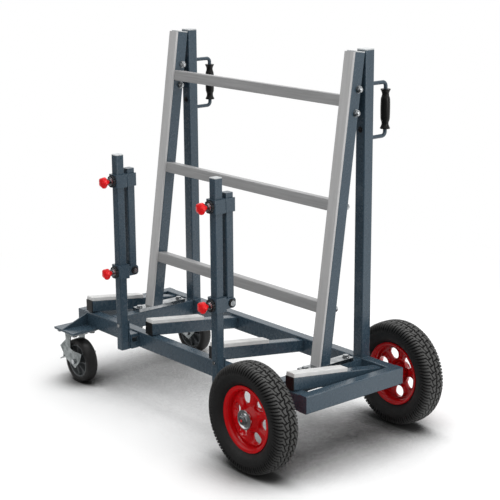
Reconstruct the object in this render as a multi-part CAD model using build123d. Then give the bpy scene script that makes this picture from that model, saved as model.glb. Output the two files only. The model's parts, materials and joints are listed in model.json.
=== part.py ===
from build123d import *
import math
import os

os.makedirs("parts", exist_ok=True)

# Lengths are in millimetres. While the cart is built, X = 0 is the outer face of the
# wheel end, Y = 0 the outer face of the front rail and Z = 0 the floor. The slabs
# stand on the front side, so the front is -Y and the back is +Y.

# Chassis
chassis_length = 1370.0
chassis_width = 460.0
rail_height = 62.0
rail_width = 40.0
rail_bottom = 211.0
tube_wall = 3.0
corner_radius = 4.0
rail_top = rail_bottom + rail_height

# Leaning frame, its legs and its bars
leg_width = 45.0
back_leg_depth = 42.0
front_leg_depth = 47.0
wheel_leg_inset = 164.5
caster_leg_inset = 173.0
lean_foot_y = 208.0
frame_top = 1375.0
head_gap = 3.0
head_drop = 7.5
leg_pad_thickness = 9.0
leg_pad_round = 1.5
foot_plate_height = 14.0
foot_plate_lead = 61.0
foot_plate_back_gap = 41.0
foot_bolt_inset = 17.0
bar_height = 40.0
bar_depth = 42.0
bottom_bar_rise = 204.0
top_bar_drop = 169.0
cap_thickness = 4.0
cap_depth = 18.0
head_plate_thickness = 6.0
head_plate_side_margin = 12.0
head_plate_end_margin = 21.0
head_bolt_drop = 125.0
head_bolt_spacing = 81.0
head_bolt_inset = 13.5

# Support arms under the slabs
arm_height = 46.5
arm_width = 40.0
arm_top_level = 7.7
wheel_end_arm_insets = [65.0, 480.0]
caster_end_arm_insets = [463.0, 60.0]
arm_cap_thickness = 3.5
arm_cap_depth = 16.0
arm_pad_length = 250.0
arm_pad_thickness = 14.0
arm_pad_round = 2.0
arm_pad_front = 2.0

# Bolts
bolt_radius = 6.0
bolt_hole_gap = 0.5
bolt_flats = 19.0
bolt_head_height = 7.5
nut_height = 10.0
bolt_tail = 4.0
low_head_radius = 11.0
low_head_height = 3.0
strip_bolt_inset = 13.0
post_bolt_radius = 4.0
post_bolt_head_radius = 7.0
post_bolt_head_height = 3.5

# Push handles
handle_rod_radius = 7.0
handle_reach = 79.0
handle_drop = 119.0
handle_length = 189.0
handle_bend_radius = 15.0
grip_length = 140.0
grip_radius = 16.5
grip_places_share = [0.0, 0.03, 0.12, 0.20, 0.27, 0.50, 0.73, 0.80, 0.88, 0.97, 1.0]
grip_radii_share = [1.0, 1.0, 0.68, 0.70, 0.93, 0.96, 0.93, 0.70, 0.68, 1.0, 1.0]
running_gap = 0.05

# Clamp posts
post_size = 33.0
post_height = 752.0
post_standoff = 42.0
post_inset = 378.6
bracket_length = 44.0
bracket_height = 57.0
bracket_sole = 25.0
bracket_roof = 12.0
bracket_wall = 5.0
bracket_plate_height = 114.0
bracket_plate_thickness = 5.0
post_bolt_rise = 96.0

# Clamp sleeves, arms and knobs
sleeve_gap = 0.5
sleeve_wall = 7.5
sleeve_round = 4.0
upper_sleeve_height = 49.0
lower_sleeve_height = 53.0
upper_sleeve_drop = 96.0
lower_sleeve_rise = 308.0
swing_arm_size = 32.0
swing_arm_wall = 2.5
swing_arm_gap = 7.0
swing_arm_rise = 42.0
swing_arm_tail = 13.0
guide_wall = 5.0
guide_round = 4.0
guide_reach = 19.0
lug_reach = 18.0
lug_height = 37.0
lug_round = 12.0
loose_gap = 0.3
boss_radius = 22.0
boss_height = 16.0
boss_teeth = 12
boss_tooth_depth = 3.0
boss_tooth_width = 5.0
knob_radius = 20.0
knob_length = 16.0
knob_lobes = 5
knob_lobe_share = 0.42
knob_round = 3.0
knob_taper_length = 12.0
knob_neck_radius = 7.0
knob_neck_length = 3.0
stud_radius = 5.0
stud_showing = 7.0

# Pneumatic wheels
wheel_inset = 138.0
tyre_radius = 192.5
tyre_width = 98.0
wheel_offset = 119.0
flange_radius = 117.0
flange_thickness = 4.0
seat_radius = 103.0
rim_wall = 4.0
rim_width = 64.0
web_thickness = 5.0
web_radii_share = [0.27, 0.34, 0.45, 0.90, 1.0]
web_rises_share = [0.96, 0.88, 0.42, 0.27, 0.18]
rim_holes = 6
rim_hole_radius = 21.0
rim_hole_circle = 71.0
rim_hole_turns = [52.0, 18.5]
hub_radius = 28.0
tyre_radii_share = [0.19, 0.30, 0.52, 0.78, 0.92, 0.98, 0.997, 1.0]
tyre_sides_share = [0.62, 0.86, 1.0, 0.96, 0.82, 0.58, 0.3, 0.0]
tyre_thickness = 9.0

# Axle
axle_radius = 12.5
axle_bar = 30.0
axle_end_radius = 10.0
axle_bracket_length = 70.0
axle_bracket_depth = 44.0
axle_collar_gap = 0.5
hub_washer_radius = 35.0
hub_washer_thickness = 3.5
hub_washer_dish_share = 0.55
axle_nut_flats = 30.0
axle_nut_height = 12.0
axle_tail = 1.0

# Swivel casters
outrigger_length = 135.0
outrigger_reach = 118.0
outrigger_thickness = 8.0
gusset_inset = 55.0
gusset_thickness = 6.0
gusset_height = 45.0
swivel_inset = 60.0
swivel_reach = 54.0
caster_plate_length = 130.0
caster_plate_width = 104.0
caster_plate_thickness = 6.0
caster_bolt_inset_share = 0.8
caster_thread_length = 6.0
race_radius = 32.0
race_height = 6.0
kingpin_radius = 6.0
kingpin_head_radius = 10.0
kingpin_head_height = 4.0
crown_length = 60.0
crown_height = 10.0
caster_trail = 34.0
caster_wheel_radius = 89.0
caster_wheel_width = 48.0
caster_core_radius = 66.0
caster_hub_radius = 20.0
caster_hub_length = 56.0
caster_web_thickness = 8.0
fork_gap = 2.5
fork_thickness = 4.0
fork_boss_radius = 17.0
caster_axle_radius = 6.0
caster_turns = [-1.5, 2.0]
fork_xs_share = [-0.34, 0.22, 0.10, 0.08, 0.36, 1.0, 0.85, 0.45, -0.03, -0.36, -0.79, -0.29]
fork_zs_share = [1.0, 1.0, 0.90, 0.69, 0.66, 0.67, 0.49, 0.31, 0.39, 0.44, 0.66, 0.84]
brake_pivot_x = -56.0
brake_pivot_z = 130.0
brake_pin_radius = 4.0
brake_hub_radius = 7.5
brake_width = 44.0
brake_xs_share = [-0.09, 0.02, -0.055, -0.125, -0.43, -0.45, -0.19]
brake_zs_share = [0.02, 0.02, -0.25, -0.56, -0.74, -0.70, -0.56]

axis_of = {"X": Axis.X, "Y": Axis.Y, "Z": Axis.Z}
leg_sides = {
    "wheel_end": -wheel_leg_inset,
    "caster_end": -chassis_length + caster_leg_inset + leg_width,
}
wheel_x = -wheel_inset
parts = {}

# The leaning legs turn about their foot until their upper back corner is near the back legs.
foot_top = rail_top + foot_plate_height
back_leg_front = chassis_width - back_leg_depth
leaning_depth = leg_pad_thickness + front_leg_depth
lean_run = back_leg_front - head_gap - lean_foot_y
lean_rise = frame_top - head_drop - foot_top
lean_reach = math.hypot(lean_run, lean_rise)
lean = math.atan2(lean_run, lean_rise) - math.asin(leaning_depth / lean_reach)
leaning_length = lean_run * math.sin(lean) + lean_rise * math.cos(lean)
top_bar_level = leaning_length - top_bar_drop
bar_levels = {
    "bottom_bar": bottom_bar_rise,
    "middle_bar": (bottom_bar_rise + top_bar_level) / 2,
    "top_bar": top_bar_level,
}


def block(x_low, x_high, y_low, y_high, z_low, z_high):
    """A box between the given low and high faces."""
    size = (x_high - x_low, y_high - y_low, z_high - z_low)
    middle = ((x_low + x_high) / 2, (y_low + y_high) / 2, (z_low + z_high) / 2)
    return Pos(*middle) * Box(*size)


def tube(x_low, x_high, y_low, y_high, z_low, z_high, along, wall, end_wall):
    """A rectangular tube between the given faces, open along one axis or welded shut."""
    outer = block(x_low, x_high, y_low, y_high, z_low, z_high)
    outer = fillet(outer.edges().filter_by(axis_of[along]), corner_radius)
    inset = {name: wall for name in axis_of}
    inset[along] = end_wall
    hollow = block(
        x_low + inset["X"],
        x_high - inset["X"],
        y_low + inset["Y"],
        y_high - inset["Y"],
        z_low + inset["Z"],
        z_high - inset["Z"],
    )
    return outer - hollow


def leaning(shape):
    """Place a shape that is drawn upright, from the foot of the leg pads, in the leaning frame."""
    return Pos(0, lean_foot_y, foot_top) * Rot(-math.degrees(lean), 0, 0) * shape


def above(shape, level):
    """The part of a shape over a level."""
    return split(shape, bisect_by=Plane.XY.offset(level), keep=Keep.TOP)


def hexagon(flats, height):
    """A hexagonal bar standing on Z = 0."""
    return extrude(RegularPolygon(flats / 2, 6, major_radius=False), height)


def rod(radius, low, high):
    """A round bar along Z from low to high."""
    return Pos(0, 0, low) * extrude(Circle(radius), high - low)


def ring(points):
    """A solid turned about Z from an outline of radius and height."""
    outline = Polyline(*points, close=True)
    return revolve(Plane.XZ * make_face(outline), Axis.Z)


def shank_and_nut(grip):
    """A bolt's shank below Z = 0, and the nut under the clamped stack."""
    nut_base = -grip - nut_height
    shank = rod(bolt_radius, nut_base - bolt_tail, 0)
    return shank, Pos(0, 0, nut_base) * hexagon(bolt_flats, nut_height) - shank


def bolt(grip):
    """A hexagon head bolt and its nut, with the head on Z = 0."""
    shank, nut = shank_and_nut(grip)
    return [hexagon(bolt_flats, bolt_head_height) + shank, nut]


def low_bolt(grip):
    """A bolt with a low round head on Z = 0, and its nut."""
    shank, nut = shank_and_nut(grip)
    return [rod(low_head_radius, 0, low_head_height) + shank, nut]


def bolt_hole(grip):
    """The hole for a bolt through a stack under Z = 0."""
    return rod(bolt_radius + bolt_hole_gap, -grip, 0)


def group(shapes):
    """Several separate solids as one shape."""
    return Compound([solid for shape in shapes for solid in shape.solids()])


def chassis():
    """The two rails, the two end beams and the two tubes under the leaning frame."""
    x_inner = -rail_width
    x_far = -chassis_length
    y_back = chassis_width - rail_width
    for name, y_low in (("front_rail", 0), ("back_rail", y_back)):
        parts[name] = tube(
            x_far + rail_width,
            x_inner,
            y_low,
            y_low + rail_width,
            rail_bottom,
            rail_top,
            "X",
            tube_wall,
            0,
        )
    for name, x_low in (("wheel_end_beam", x_inner), ("caster_end_beam", x_far)):
        parts[name] = tube(
            x_low,
            x_low + rail_width,
            0,
            chassis_width,
            rail_bottom,
            rail_top,
            "Y",
            tube_wall,
            tube_wall,
        )
    foot_tubes = []
    for x_side in leg_sides.values():
        foot_tube = tube(
            x_side - leg_width,
            x_side,
            rail_width,
            y_back,
            rail_bottom,
            rail_top,
            "Y",
            tube_wall,
            0,
        )
        for place in foot_bolt_places(x_side):
            foot_tube = foot_tube - place * bolt_hole(foot_plate_height + rail_height)
        foot_tubes.append(foot_tube)
    parts["foot_tubes"] = group(foot_tubes)


def foot_bolt_places(x_side):
    """Where the two bolts of a foot plate go."""
    x = x_side - leg_width / 2
    front = lean_foot_y - foot_plate_lead + foot_bolt_inset
    back = back_leg_front - foot_plate_back_gap - foot_bolt_inset
    return [Pos(x, front, foot_top), Pos(x, back, foot_top)]


def head_bolt_places(x_side):
    """Where the two bolts at a leg head go, pointing across the leaning leg."""
    y = leaning_depth - head_bolt_inset
    top = leaning_length - head_bolt_drop
    return [
        leaning(Pos(x_side, y, level) * Rot(0, 90, 0)) for level in (top, top - head_bolt_spacing)
    ]


def strip_bolt_places(x_side):
    """Where the bolts go that hold a leg pad, at the levels of the two lower bars."""
    x = x_side - strip_bolt_inset
    levels = (bar_levels["bottom_bar"], bar_levels["middle_bar"])
    return [Pos(x, leg_pad_thickness, level) * Rot(90, 0, 0) for level in levels]


def head_plate_block(x_side):
    """The plate on the inner side of a leg pair, from round the head bolts to the back leg."""
    x_face = x_side - leg_width
    upper, lower = [place.position for place in head_bolt_places(x_side)]
    return block(
        x_face - head_plate_thickness,
        x_face,
        lower.Y - head_plate_side_margin,
        chassis_width,
        lower.Z - head_plate_end_margin,
        upper.Z + head_plate_end_margin,
    )


def leg_cap(x_side, y_low, depth):
    """A cap on the open end of a leg that is drawn upright and ends at Z = 0."""
    top = block(x_side - leg_width, x_side, y_low, y_low + depth, 0, cap_thickness)
    top = fillet(top.edges().filter_by(Axis.Z), corner_radius)
    plug = block(
        x_side - leg_width + tube_wall,
        x_side - tube_wall,
        y_low + tube_wall,
        y_low + depth - tube_wall,
        -cap_depth,
        0,
    )
    return top + plug


def front_leg(x_side):
    """A leaning leg, cut level where it stands on its foot plate."""
    leg = tube(
        x_side - leg_width,
        x_side,
        leg_pad_thickness,
        leaning_depth,
        -leaning_depth,
        leaning_length,
        "Z",
        tube_wall,
        0,
    )
    for place in strip_bolt_places(x_side):
        leg = leg - place * bolt_hole(front_leg_depth)
    leg = above(leaning(leg), foot_top)
    for place in head_bolt_places(x_side):
        leg = leg - place * bolt_hole(leg_width)
    return leg


def leg_pad(x_side):
    """The strip on the front of a leaning leg, that the slabs lean on."""
    pad = block(
        x_side - leg_width, x_side, 0, leg_pad_thickness, -leaning_depth, leaning_length
    )
    pad = fillet(pad.edges().filter_by(Axis.Z).group_by(Axis.Y)[0], leg_pad_round)
    for place in strip_bolt_places(x_side):
        pad = pad - place * rod(low_head_radius, 0, low_head_height)
    return above(leaning(pad), foot_top)


def foot_plate_block(x_side):
    """The plate under a pair of legs, from before the leaning leg to near the back leg."""
    y_low = lean_foot_y - foot_plate_lead
    y_high = back_leg_front - foot_plate_back_gap
    return block(x_side - leg_width, x_side, y_low, y_high, rail_top, foot_top)


def leg_pairs():
    """The upright and leaning legs at both ends, with their pads, plates, caps and bolts."""
    caps = []
    head_plates = []
    foot_plates = []
    bolts = []
    for name, x_side in leg_sides.items():
        parts["back_leg_" + name] = tube(
            x_side - leg_width,
            x_side,
            back_leg_front,
            chassis_width,
            rail_top,
            frame_top,
            "Z",
            tube_wall,
            0,
        )
        parts["front_leg_" + name] = front_leg(x_side)
        parts["leg_pad_" + name] = leg_pad(x_side)
        caps.append(Pos(0, 0, frame_top) * leg_cap(x_side, back_leg_front, back_leg_depth))
        leg_end = Pos(0, 0, leaning_length)
        caps.append(leaning(leg_end * leg_cap(x_side, leg_pad_thickness, front_leg_depth)))
        head_plate = head_plate_block(x_side)
        head_grip = leg_width + head_plate_thickness
        for place in head_bolt_places(x_side):
            head_plate = head_plate - place * bolt_hole(head_grip)
            bolts += [place * piece for piece in bolt(head_grip)]
        head_plates.append(head_plate)
        foot_plate = foot_plate_block(x_side)
        for place in foot_bolt_places(x_side):
            foot_plate = foot_plate - place * bolt_hole(foot_plate_height)
            bolts += [place * piece for piece in bolt(foot_plate_height + rail_height)]
        foot_plates.append(foot_plate)
        for place in strip_bolt_places(x_side):
            bolts += [leaning(place * piece) for piece in low_bolt(front_leg_depth)]
    parts["leg_caps"] = group(caps)
    parts["head_plates"] = group(head_plates)
    parts["foot_plates"] = group(foot_plates)
    return bolts


def bars():
    """The three bars between the leaning legs."""
    x_high = leg_sides["wheel_end"] - leg_width
    x_low = leg_sides["caster_end"]
    for name, level in bar_levels.items():
        bar = tube(
            x_low,
            x_high,
            leg_pad_thickness,
            leg_pad_thickness + bar_depth,
            level - bar_height / 2,
            level + bar_height / 2,
            "X",
            tube_wall,
            0,
        )
        parts[name] = leaning(bar)
    parts["top_bar"] = parts["top_bar"] - head_plate_block(leg_sides["wheel_end"])


def support_arms():
    """The sloping arms that the slabs stand on, with their pads and end caps."""
    arms = []
    pads = []
    caps = []
    y_back = chassis_width - rail_width
    room = block(
        -chassis_length, 0, arm_cap_thickness, y_back, rail_bottom, frame_top
    ) - block(-chassis_length, 0, 0, rail_width, rail_bottom, rail_top)
    cap_room = block(-chassis_length, 0, 0, arm_cap_thickness, rail_top, frame_top)
    plug_room = block(
        -chassis_length, 0, arm_cap_thickness, arm_cap_depth, rail_top, frame_top
    )
    wheel_end_sides = [-inset - arm_width for inset in wheel_end_arm_insets]
    caster_end_sides = [inset - chassis_length for inset in caster_end_arm_insets]
    for x_low in wheel_end_sides + caster_end_sides:
        x_high = x_low + arm_width
        bottom = arm_top_level - arm_height
        length = chassis_width
        limits = (x_low, x_high, -length, length, bottom, arm_top_level)
        bar = leaning(tube(*limits, "Y", tube_wall, 0))
        solid_bar = leaning(block(*limits))
        inner = leaning(
            block(
                x_low + tube_wall,
                x_high - tube_wall,
                -length,
                length,
                bottom + tube_wall,
                arm_top_level - tube_wall,
            )
        )
        arms.append(bar & room)
        caps.append((solid_bar & cap_room) + (inner & plug_room))
        pad_low = (arm_pad_front - lean_foot_y) / math.cos(lean)
        pad = block(
            x_low,
            x_high,
            pad_low,
            pad_low + arm_pad_length,
            arm_top_level,
            arm_top_level + arm_pad_thickness,
        )
        pads.append(leaning(fillet(pad.faces().sort_by(Axis.Z)[-1].edges(), arm_pad_round)))
    parts["support_arms"] = group(arms)
    parts["support_pads"] = group(pads)
    parts["arm_end_caps"] = group(caps)


def grip():
    """A waisted handle grip with flared ends and a bore for its rod, turned about Z."""
    inner = handle_rod_radius + running_gap
    half = grip_length / 2
    curve = [
        (grip_radius * out, grip_length * place - half)
        for out, place in zip(grip_radii_share, grip_places_share)
    ]
    return ring([(inner, -half)] + curve + [(inner, half)])


def handles():
    """The push handles on the upright legs: a bent rod with a turning grip."""
    y_leg = chassis_width
    y_out = chassis_width + handle_reach
    z_high = frame_top - handle_drop
    z_low = z_high - handle_length
    for name, x_side in leg_sides.items():
        x = x_side - leg_width / 2
        points = [(x, y_leg, z_high), (x, y_out, z_high), (x, y_out, z_low), (x, y_leg, z_low)]
        path = FilletPolyline(*points, radius=handle_bend_radius)
        start = Plane(origin=points[0], z_dir=(0, 1, 0))
        parts["handle_rod_" + name] = sweep(start * Circle(handle_rod_radius), path)
        parts["grip_" + name] = Pos(x, y_out, (z_high + z_low) / 2) * grip()


def post_places():
    """The middle of each clamp post, by the end of the cart that it stands near."""
    y = -post_standoff - post_size / 2
    inset = post_inset + post_size / 2
    return {"wheel_end": (-inset, y), "caster_end": (inset - chassis_length, y)}


def post_bracket(x, y_low):
    """The welded section between a post's plate and the front rail, open from side to side."""
    half = bracket_length / 2
    z_high = rail_bottom + bracket_height
    section = block(x - half, x + half, y_low, 0, rail_bottom, z_high)
    section = fillet(section.edges().filter_by(Axis.X), corner_radius)
    opening = block(
        x - half,
        x + half,
        y_low + bracket_wall,
        -bracket_wall,
        rail_bottom + bracket_sole,
        z_high - bracket_roof,
    )
    return section - opening


def posts():
    """The clamp posts with the brackets and bolts that hold them to the front rail."""
    brackets = []
    bolts = []
    half = post_size / 2
    for name, (x, y) in post_places().items():
        place = Pos(x, y - half, rail_bottom + post_bolt_rise) * Rot(90, 0, 0)
        post = tube(
            x - half,
            x + half,
            y - half,
            y + half,
            rail_bottom,
            rail_bottom + post_height,
            "Z",
            tube_wall,
            tube_wall,
        )
        parts["post_" + name] = post - place * rod(
            post_bolt_radius + bolt_hole_gap, -post_size, 0
        )
        plate_back = y + half + bracket_plate_thickness
        plate = block(
            x - half,
            x + half,
            y + half,
            plate_back,
            rail_bottom,
            rail_bottom + bracket_plate_height,
        )
        shank = place * rod(post_bolt_radius, -post_size - bracket_plate_thickness, 0)
        brackets.append(plate + post_bracket(x, plate_back) - shank)
        bolts.append(shank + place * rod(post_bolt_head_radius, 0, post_bolt_head_height))
    parts["post_brackets"] = group(brackets)
    return bolts


def sleeve_half():
    """Half the width of a sleeve's collar."""
    return post_size / 2 + sleeve_gap + sleeve_wall


def sleeve_levels():
    """The levels of the middles of the upper and the lower sleeves."""
    upper = rail_bottom + post_height - upper_sleeve_drop
    return upper, rail_bottom + lower_sleeve_rise


def swing_arm_y(y):
    """The middle of a swing arm, behind the collars of its post's sleeves."""
    return y + sleeve_half() + swing_arm_gap + swing_arm_size / 2


def boss():
    """The toothed boss in front of a collar, standing on Z = 0, with a bore for the stud."""
    body = rod(boss_radius, 0, boss_height)
    notch = block(
        boss_radius - boss_tooth_depth,
        boss_radius + boss_tooth_depth,
        -boss_tooth_width / 2,
        boss_tooth_width / 2,
        0,
        boss_height,
    )
    for place in PolarLocations(0, boss_teeth):
        body = body - place * notch
    return body


def collar(x, y, level, height):
    """The square collar of a sleeve round its post, with the toothed boss of its knob."""
    inner = post_size / 2 + sleeve_gap
    outer = sleeve_half()
    half = height / 2
    body = block(x - outer, x + outer, y - outer, y + outer, level - half, level + half)
    body = fillet(body.edges().filter_by(Axis.Z), sleeve_round)
    boss_place = Pos(x, y - outer, level) * Rot(90, 0, 0)
    body = body + boss_place * boss()
    body = body - boss_place * rod(stud_radius + loose_gap, -sleeve_wall, boss_height)
    post_room = block(x - inner, x + inner, y - inner, y + inner, level - half, level + half)
    return body - post_room


def upper_sleeve(x, y):
    """A collar with a channel that guides the top of the swing arm and is open to the back."""
    level, _ = sleeve_levels()
    half = upper_sleeve_height / 2
    slot = swing_arm_size / 2 + sleeve_gap
    outer = slot + guide_wall
    y_collar = y + sleeve_half()
    y_arm = swing_arm_y(y)
    y_end = y_arm + guide_reach
    guide = block(x - outer, x + outer, y_collar, y_end, level - half, level + half)
    guide = fillet(guide.edges().filter_by(Axis.Z).group_by(Axis.Y)[0], guide_round)
    arm_room = block(x - slot, x + slot, y_arm - slot, y_end, level - half, level + half)
    return collar(x, y, level, upper_sleeve_height) + (guide - arm_room)


def pivot_place(x, y):
    """The axis of a swing arm's pivot bolt, with the bolt head at the wheel end side."""
    x_head = x + pivot_grip() / 2
    _, level = sleeve_levels()
    return Pos(x_head, swing_arm_y(y), level) * Rot(0, 90, 0)


def pivot_grip():
    """The thickness of a lug pair with the swing arm between them."""
    return swing_arm_size + 2 * (sleeve_gap + guide_wall)


def lower_sleeve(x, y):
    """A collar with two lugs that carry the pivot of the swing arm."""
    _, level = sleeve_levels()
    half = lug_height / 2
    slot = swing_arm_size / 2 + sleeve_gap
    outer = pivot_grip() / 2
    y_collar = y + sleeve_half()
    y_end = swing_arm_y(y) + lug_reach
    lugs = block(x - outer, x + outer, y_collar, y_end, level - half, level + half)
    lugs = fillet(lugs.edges().filter_by(Axis.X).group_by(Axis.Y)[-1], lug_round)
    lugs = lugs - block(x - slot, x + slot, y_collar, y_end, level - half, level + half)
    hole = pivot_place(x, y) * rod(bolt_radius, -pivot_grip(), 0)
    return collar(x, y, level, lower_sleeve_height) + lugs - hole


def swing_arm(x, y):
    """The tube beside the post, that swings out to the slabs about its lower end."""
    half = swing_arm_size / 2
    y_arm = swing_arm_y(y)
    upper_level, lower_level = sleeve_levels()
    arm = tube(
        x - half,
        x + half,
        y_arm - half,
        y_arm + half,
        lower_level - swing_arm_tail,
        upper_level + swing_arm_rise,
        "Z",
        swing_arm_wall,
        swing_arm_wall,
    )
    return arm - pivot_place(x, y) * rod(bolt_radius + loose_gap, -pivot_grip(), 0)


def clamp_knob(x, y, level):
    """A lobed knob with a conical neck, on a stud that runs through the boss."""
    lobe = knob_radius * knob_lobe_share
    shape = Circle(knob_radius - lobe / 2)
    for place in PolarLocations(knob_radius - lobe, knob_lobes):
        shape = shape + place * Circle(lobe)
    head = fillet(extrude(shape, knob_length).faces().sort_by(Axis.Z)[-1].edges(), knob_round)
    neck_base = boss_height + stud_showing
    taper_base = neck_base + knob_neck_length
    head_base = taper_base + knob_taper_length
    neck = ring(
        [
            (0, neck_base),
            (knob_neck_radius, neck_base),
            (knob_neck_radius, taper_base),
            (knob_radius - lobe, head_base),
            (0, head_base),
        ]
    )
    stud = rod(stud_radius, -sleeve_wall, neck_base)
    knob = Pos(0, 0, head_base) * head + neck + stud
    return Pos(x, y - sleeve_half(), level) * Rot(90, 0, 0) * knob


def clamps():
    """The sliding sleeves, swing arms, pivot bolts and knobs on both posts."""
    for name, (x, y) in post_places().items():
        parts["upper_sleeve_" + name] = upper_sleeve(x, y)
        parts["lower_sleeve_" + name] = lower_sleeve(x, y)
        parts["swing_arm_" + name] = swing_arm(x, y)
        pivot = [pivot_place(x, y) * piece for piece in bolt(pivot_grip())]
        parts["pivot_bolt_" + name] = group(pivot)
        for row, level in zip(("upper", "lower"), sleeve_levels()):
            parts[row + "_knob_" + name] = clamp_knob(x, y, level)


def rim(hole_turn):
    """A steel wheel centre, turned about Z with its outer side up."""
    half = rim_width / 2
    seat_half = half - flange_thickness
    inner = seat_radius - rim_wall
    seat_middle = seat_radius - rim_wall / 2
    barrel = ring(
        [
            (inner, -half),
            (flange_radius, -half),
            (flange_radius, -seat_half),
            (seat_radius, -seat_half),
            (seat_radius, seat_half),
            (flange_radius, seat_half),
            (flange_radius, half),
            (inner, half),
        ]
    )
    face = [
        (seat_middle * out, half * up) for out, up in zip(web_radii_share, web_rises_share)
    ]
    back_face = [(radius, level - web_thickness) for radius, level in reversed(face)]
    web = ring(face + back_face)
    for place in PolarLocations(rim_hole_circle, rim_holes, start_angle=hole_turn):
        web = web - place * rod(rim_hole_radius, -half, half)
    hub = rod(hub_radius, -half, half)
    return barrel + web + hub - rod(axle_radius + running_gap, -half, half)


def tyre_curve(outer, thickness):
    """Half of the tyre's outline, from the bead to the crown, as a spline."""
    half = tyre_width / 2 - thickness
    height = outer - thickness - seat_radius
    return [
        (seat_radius + height * up, half * side)
        for up, side in zip(tyre_radii_share, tyre_sides_share)
    ]


def mirrored(points):
    """A half outline joined with its own mirror image."""
    return points + [(radius, -side) for radius, side in reversed(points[:-1])]


def tyre():
    """A hollow tyre, turned about Z, seated between the rim's flanges."""
    seat_half = rim_width / 2 - flange_thickness
    outer = mirrored(tyre_curve(tyre_radius, 0))
    inner = mirrored(tyre_curve(tyre_radius, tyre_thickness))
    bead = (seat_radius, seat_half)
    bead_inner = (seat_radius, seat_half - tyre_thickness)
    low_bead = (seat_radius, -seat_half)
    low_bead_inner = (seat_radius, tyre_thickness - seat_half)
    lip = (flange_radius, seat_half)
    low_lip = (flange_radius, -seat_half)
    outline = [
        Spline(*outer),
        Line(outer[-1], low_lip),
        Line(low_lip, low_bead),
        Line(low_bead, low_bead_inner),
        Line(low_bead_inner, inner[-1]),
        Spline(*inner),
        Line(inner[0], bead_inner),
        Line(bead_inner, bead),
        Line(bead, lip),
        Line(lip, outer[0]),
    ]
    return revolve(Plane.XZ * make_face(Curve() + outline), Axis.Z)


def wheel_places():
    """Where the two wheels go: their outer sides face away from the chassis."""
    front = Pos(wheel_x, -wheel_offset, tyre_radius) * Rot(90, 0, 0)
    back = Pos(wheel_x, chassis_width + wheel_offset, tyre_radius) * Rot(-90, 0, 0)
    return {"front": front, "back": back}


def wheels():
    """The rims and tyres."""
    tyre_shape = tyre()
    for (name, place), hole_turn in zip(wheel_places().items(), rim_hole_turns):
        parts["rim_" + name] = place * rim(hole_turn)
        parts["tyre_" + name] = place * tyre_shape


def axle():
    """The square axle with round ends, its brackets under the rails, washers and nuts."""
    hub_end = rim_width / 2 + axle_collar_gap
    washer_end = hub_end + hub_washer_thickness
    nut_end = washer_end + axle_nut_height
    bar_half = axle_bar / 2
    y_low = -wheel_offset + hub_end
    y_high = chassis_width + wheel_offset - hub_end
    bar = block(
        wheel_x - bar_half,
        wheel_x + bar_half,
        y_low,
        y_high,
        tyre_radius - bar_half,
        tyre_radius + bar_half,
    )
    nuts = []
    for place in wheel_places().values():
        journal = rod(axle_radius, -hub_end, hub_end)
        thread = rod(axle_end_radius, hub_end, nut_end + axle_tail)
        bar = bar + place * (journal + thread)
        dish = hub_washer_radius * hub_washer_dish_share
        washer = ring(
            [
                (axle_end_radius, hub_end),
                (hub_washer_radius, hub_end),
                (hub_washer_radius - hub_washer_thickness, washer_end),
                (dish, washer_end),
                (axle_end_radius, washer_end),
            ]
        )
        nut = Pos(0, 0, washer_end) * hexagon(axle_nut_flats, axle_nut_height)
        nut = nut - rod(axle_end_radius, washer_end, nut_end)
        nuts += [place * washer, place * nut]
    parts["axle"] = bar
    parts["axle_nuts"] = group(nuts)
    brackets = []
    for y_rail in (0, chassis_width - rail_width):
        bracket = block(
            wheel_x - axle_bracket_length / 2,
            wheel_x + axle_bracket_length / 2,
            y_rail,
            y_rail + rail_width,
            rail_bottom - axle_bracket_depth,
            rail_bottom,
        )
        bar_room = block(
            wheel_x - bar_half,
            wheel_x + bar_half,
            y_rail,
            y_rail + rail_width,
            tyre_radius - bar_half,
            tyre_radius + bar_half,
        )
        brackets.append(bracket - bar_room)
    parts["axle_brackets"] = group(brackets)


def outrigger():
    """A plate beside a rail with its gusset, drawn at the front, where the rail's face is Y = 0."""
    x_low = -chassis_length
    plate = block(
        x_low, x_low + outrigger_length, -outrigger_reach, 0, rail_bottom, plate_top()
    )
    x_gusset = x_low + gusset_inset
    corners = [(0, plate_top()), (0, plate_top() + gusset_height), (-outrigger_reach, plate_top())]
    face = Plane.YZ * make_face(Polyline(*corners, close=True))
    gusset = Pos(x_gusset, 0, 0) * extrude(face, gusset_thickness)
    body = plate + gusset
    for place in caster_bolt_places():
        body = body - place * caster_bolt()
    return body


def plate_top():
    """The level of an outrigger's upper face."""
    return rail_bottom + outrigger_thickness


def caster_bolt():
    """A bolt that is tapped into the outrigger above it, with its head on Z = 0."""
    length = caster_plate_thickness + caster_thread_length
    return hexagon(bolt_flats, bolt_head_height) + rod(bolt_radius, -length, 0)


def caster_bolt_places():
    """Where the four bolts of the front caster go, with their heads under its plate."""
    x_half = caster_plate_length / 2 * caster_bolt_inset_share
    y_half = caster_plate_width / 2 * caster_bolt_inset_share
    x_middle = -chassis_length + swivel_inset
    z = rail_bottom - caster_plate_thickness
    return [
        Pos(x_middle + x_sign * x_half, -swivel_reach + y_sign * y_half, z) * Rot(180, 0, 0)
        for x_sign in (-1, 1)
        for y_sign in (-1, 1)
    ]


def to_back(shape):
    """The mirror image of a front shape, at the back rail."""
    return Pos(0, chassis_width, 0) * mirror(shape, Plane.XZ)


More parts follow.
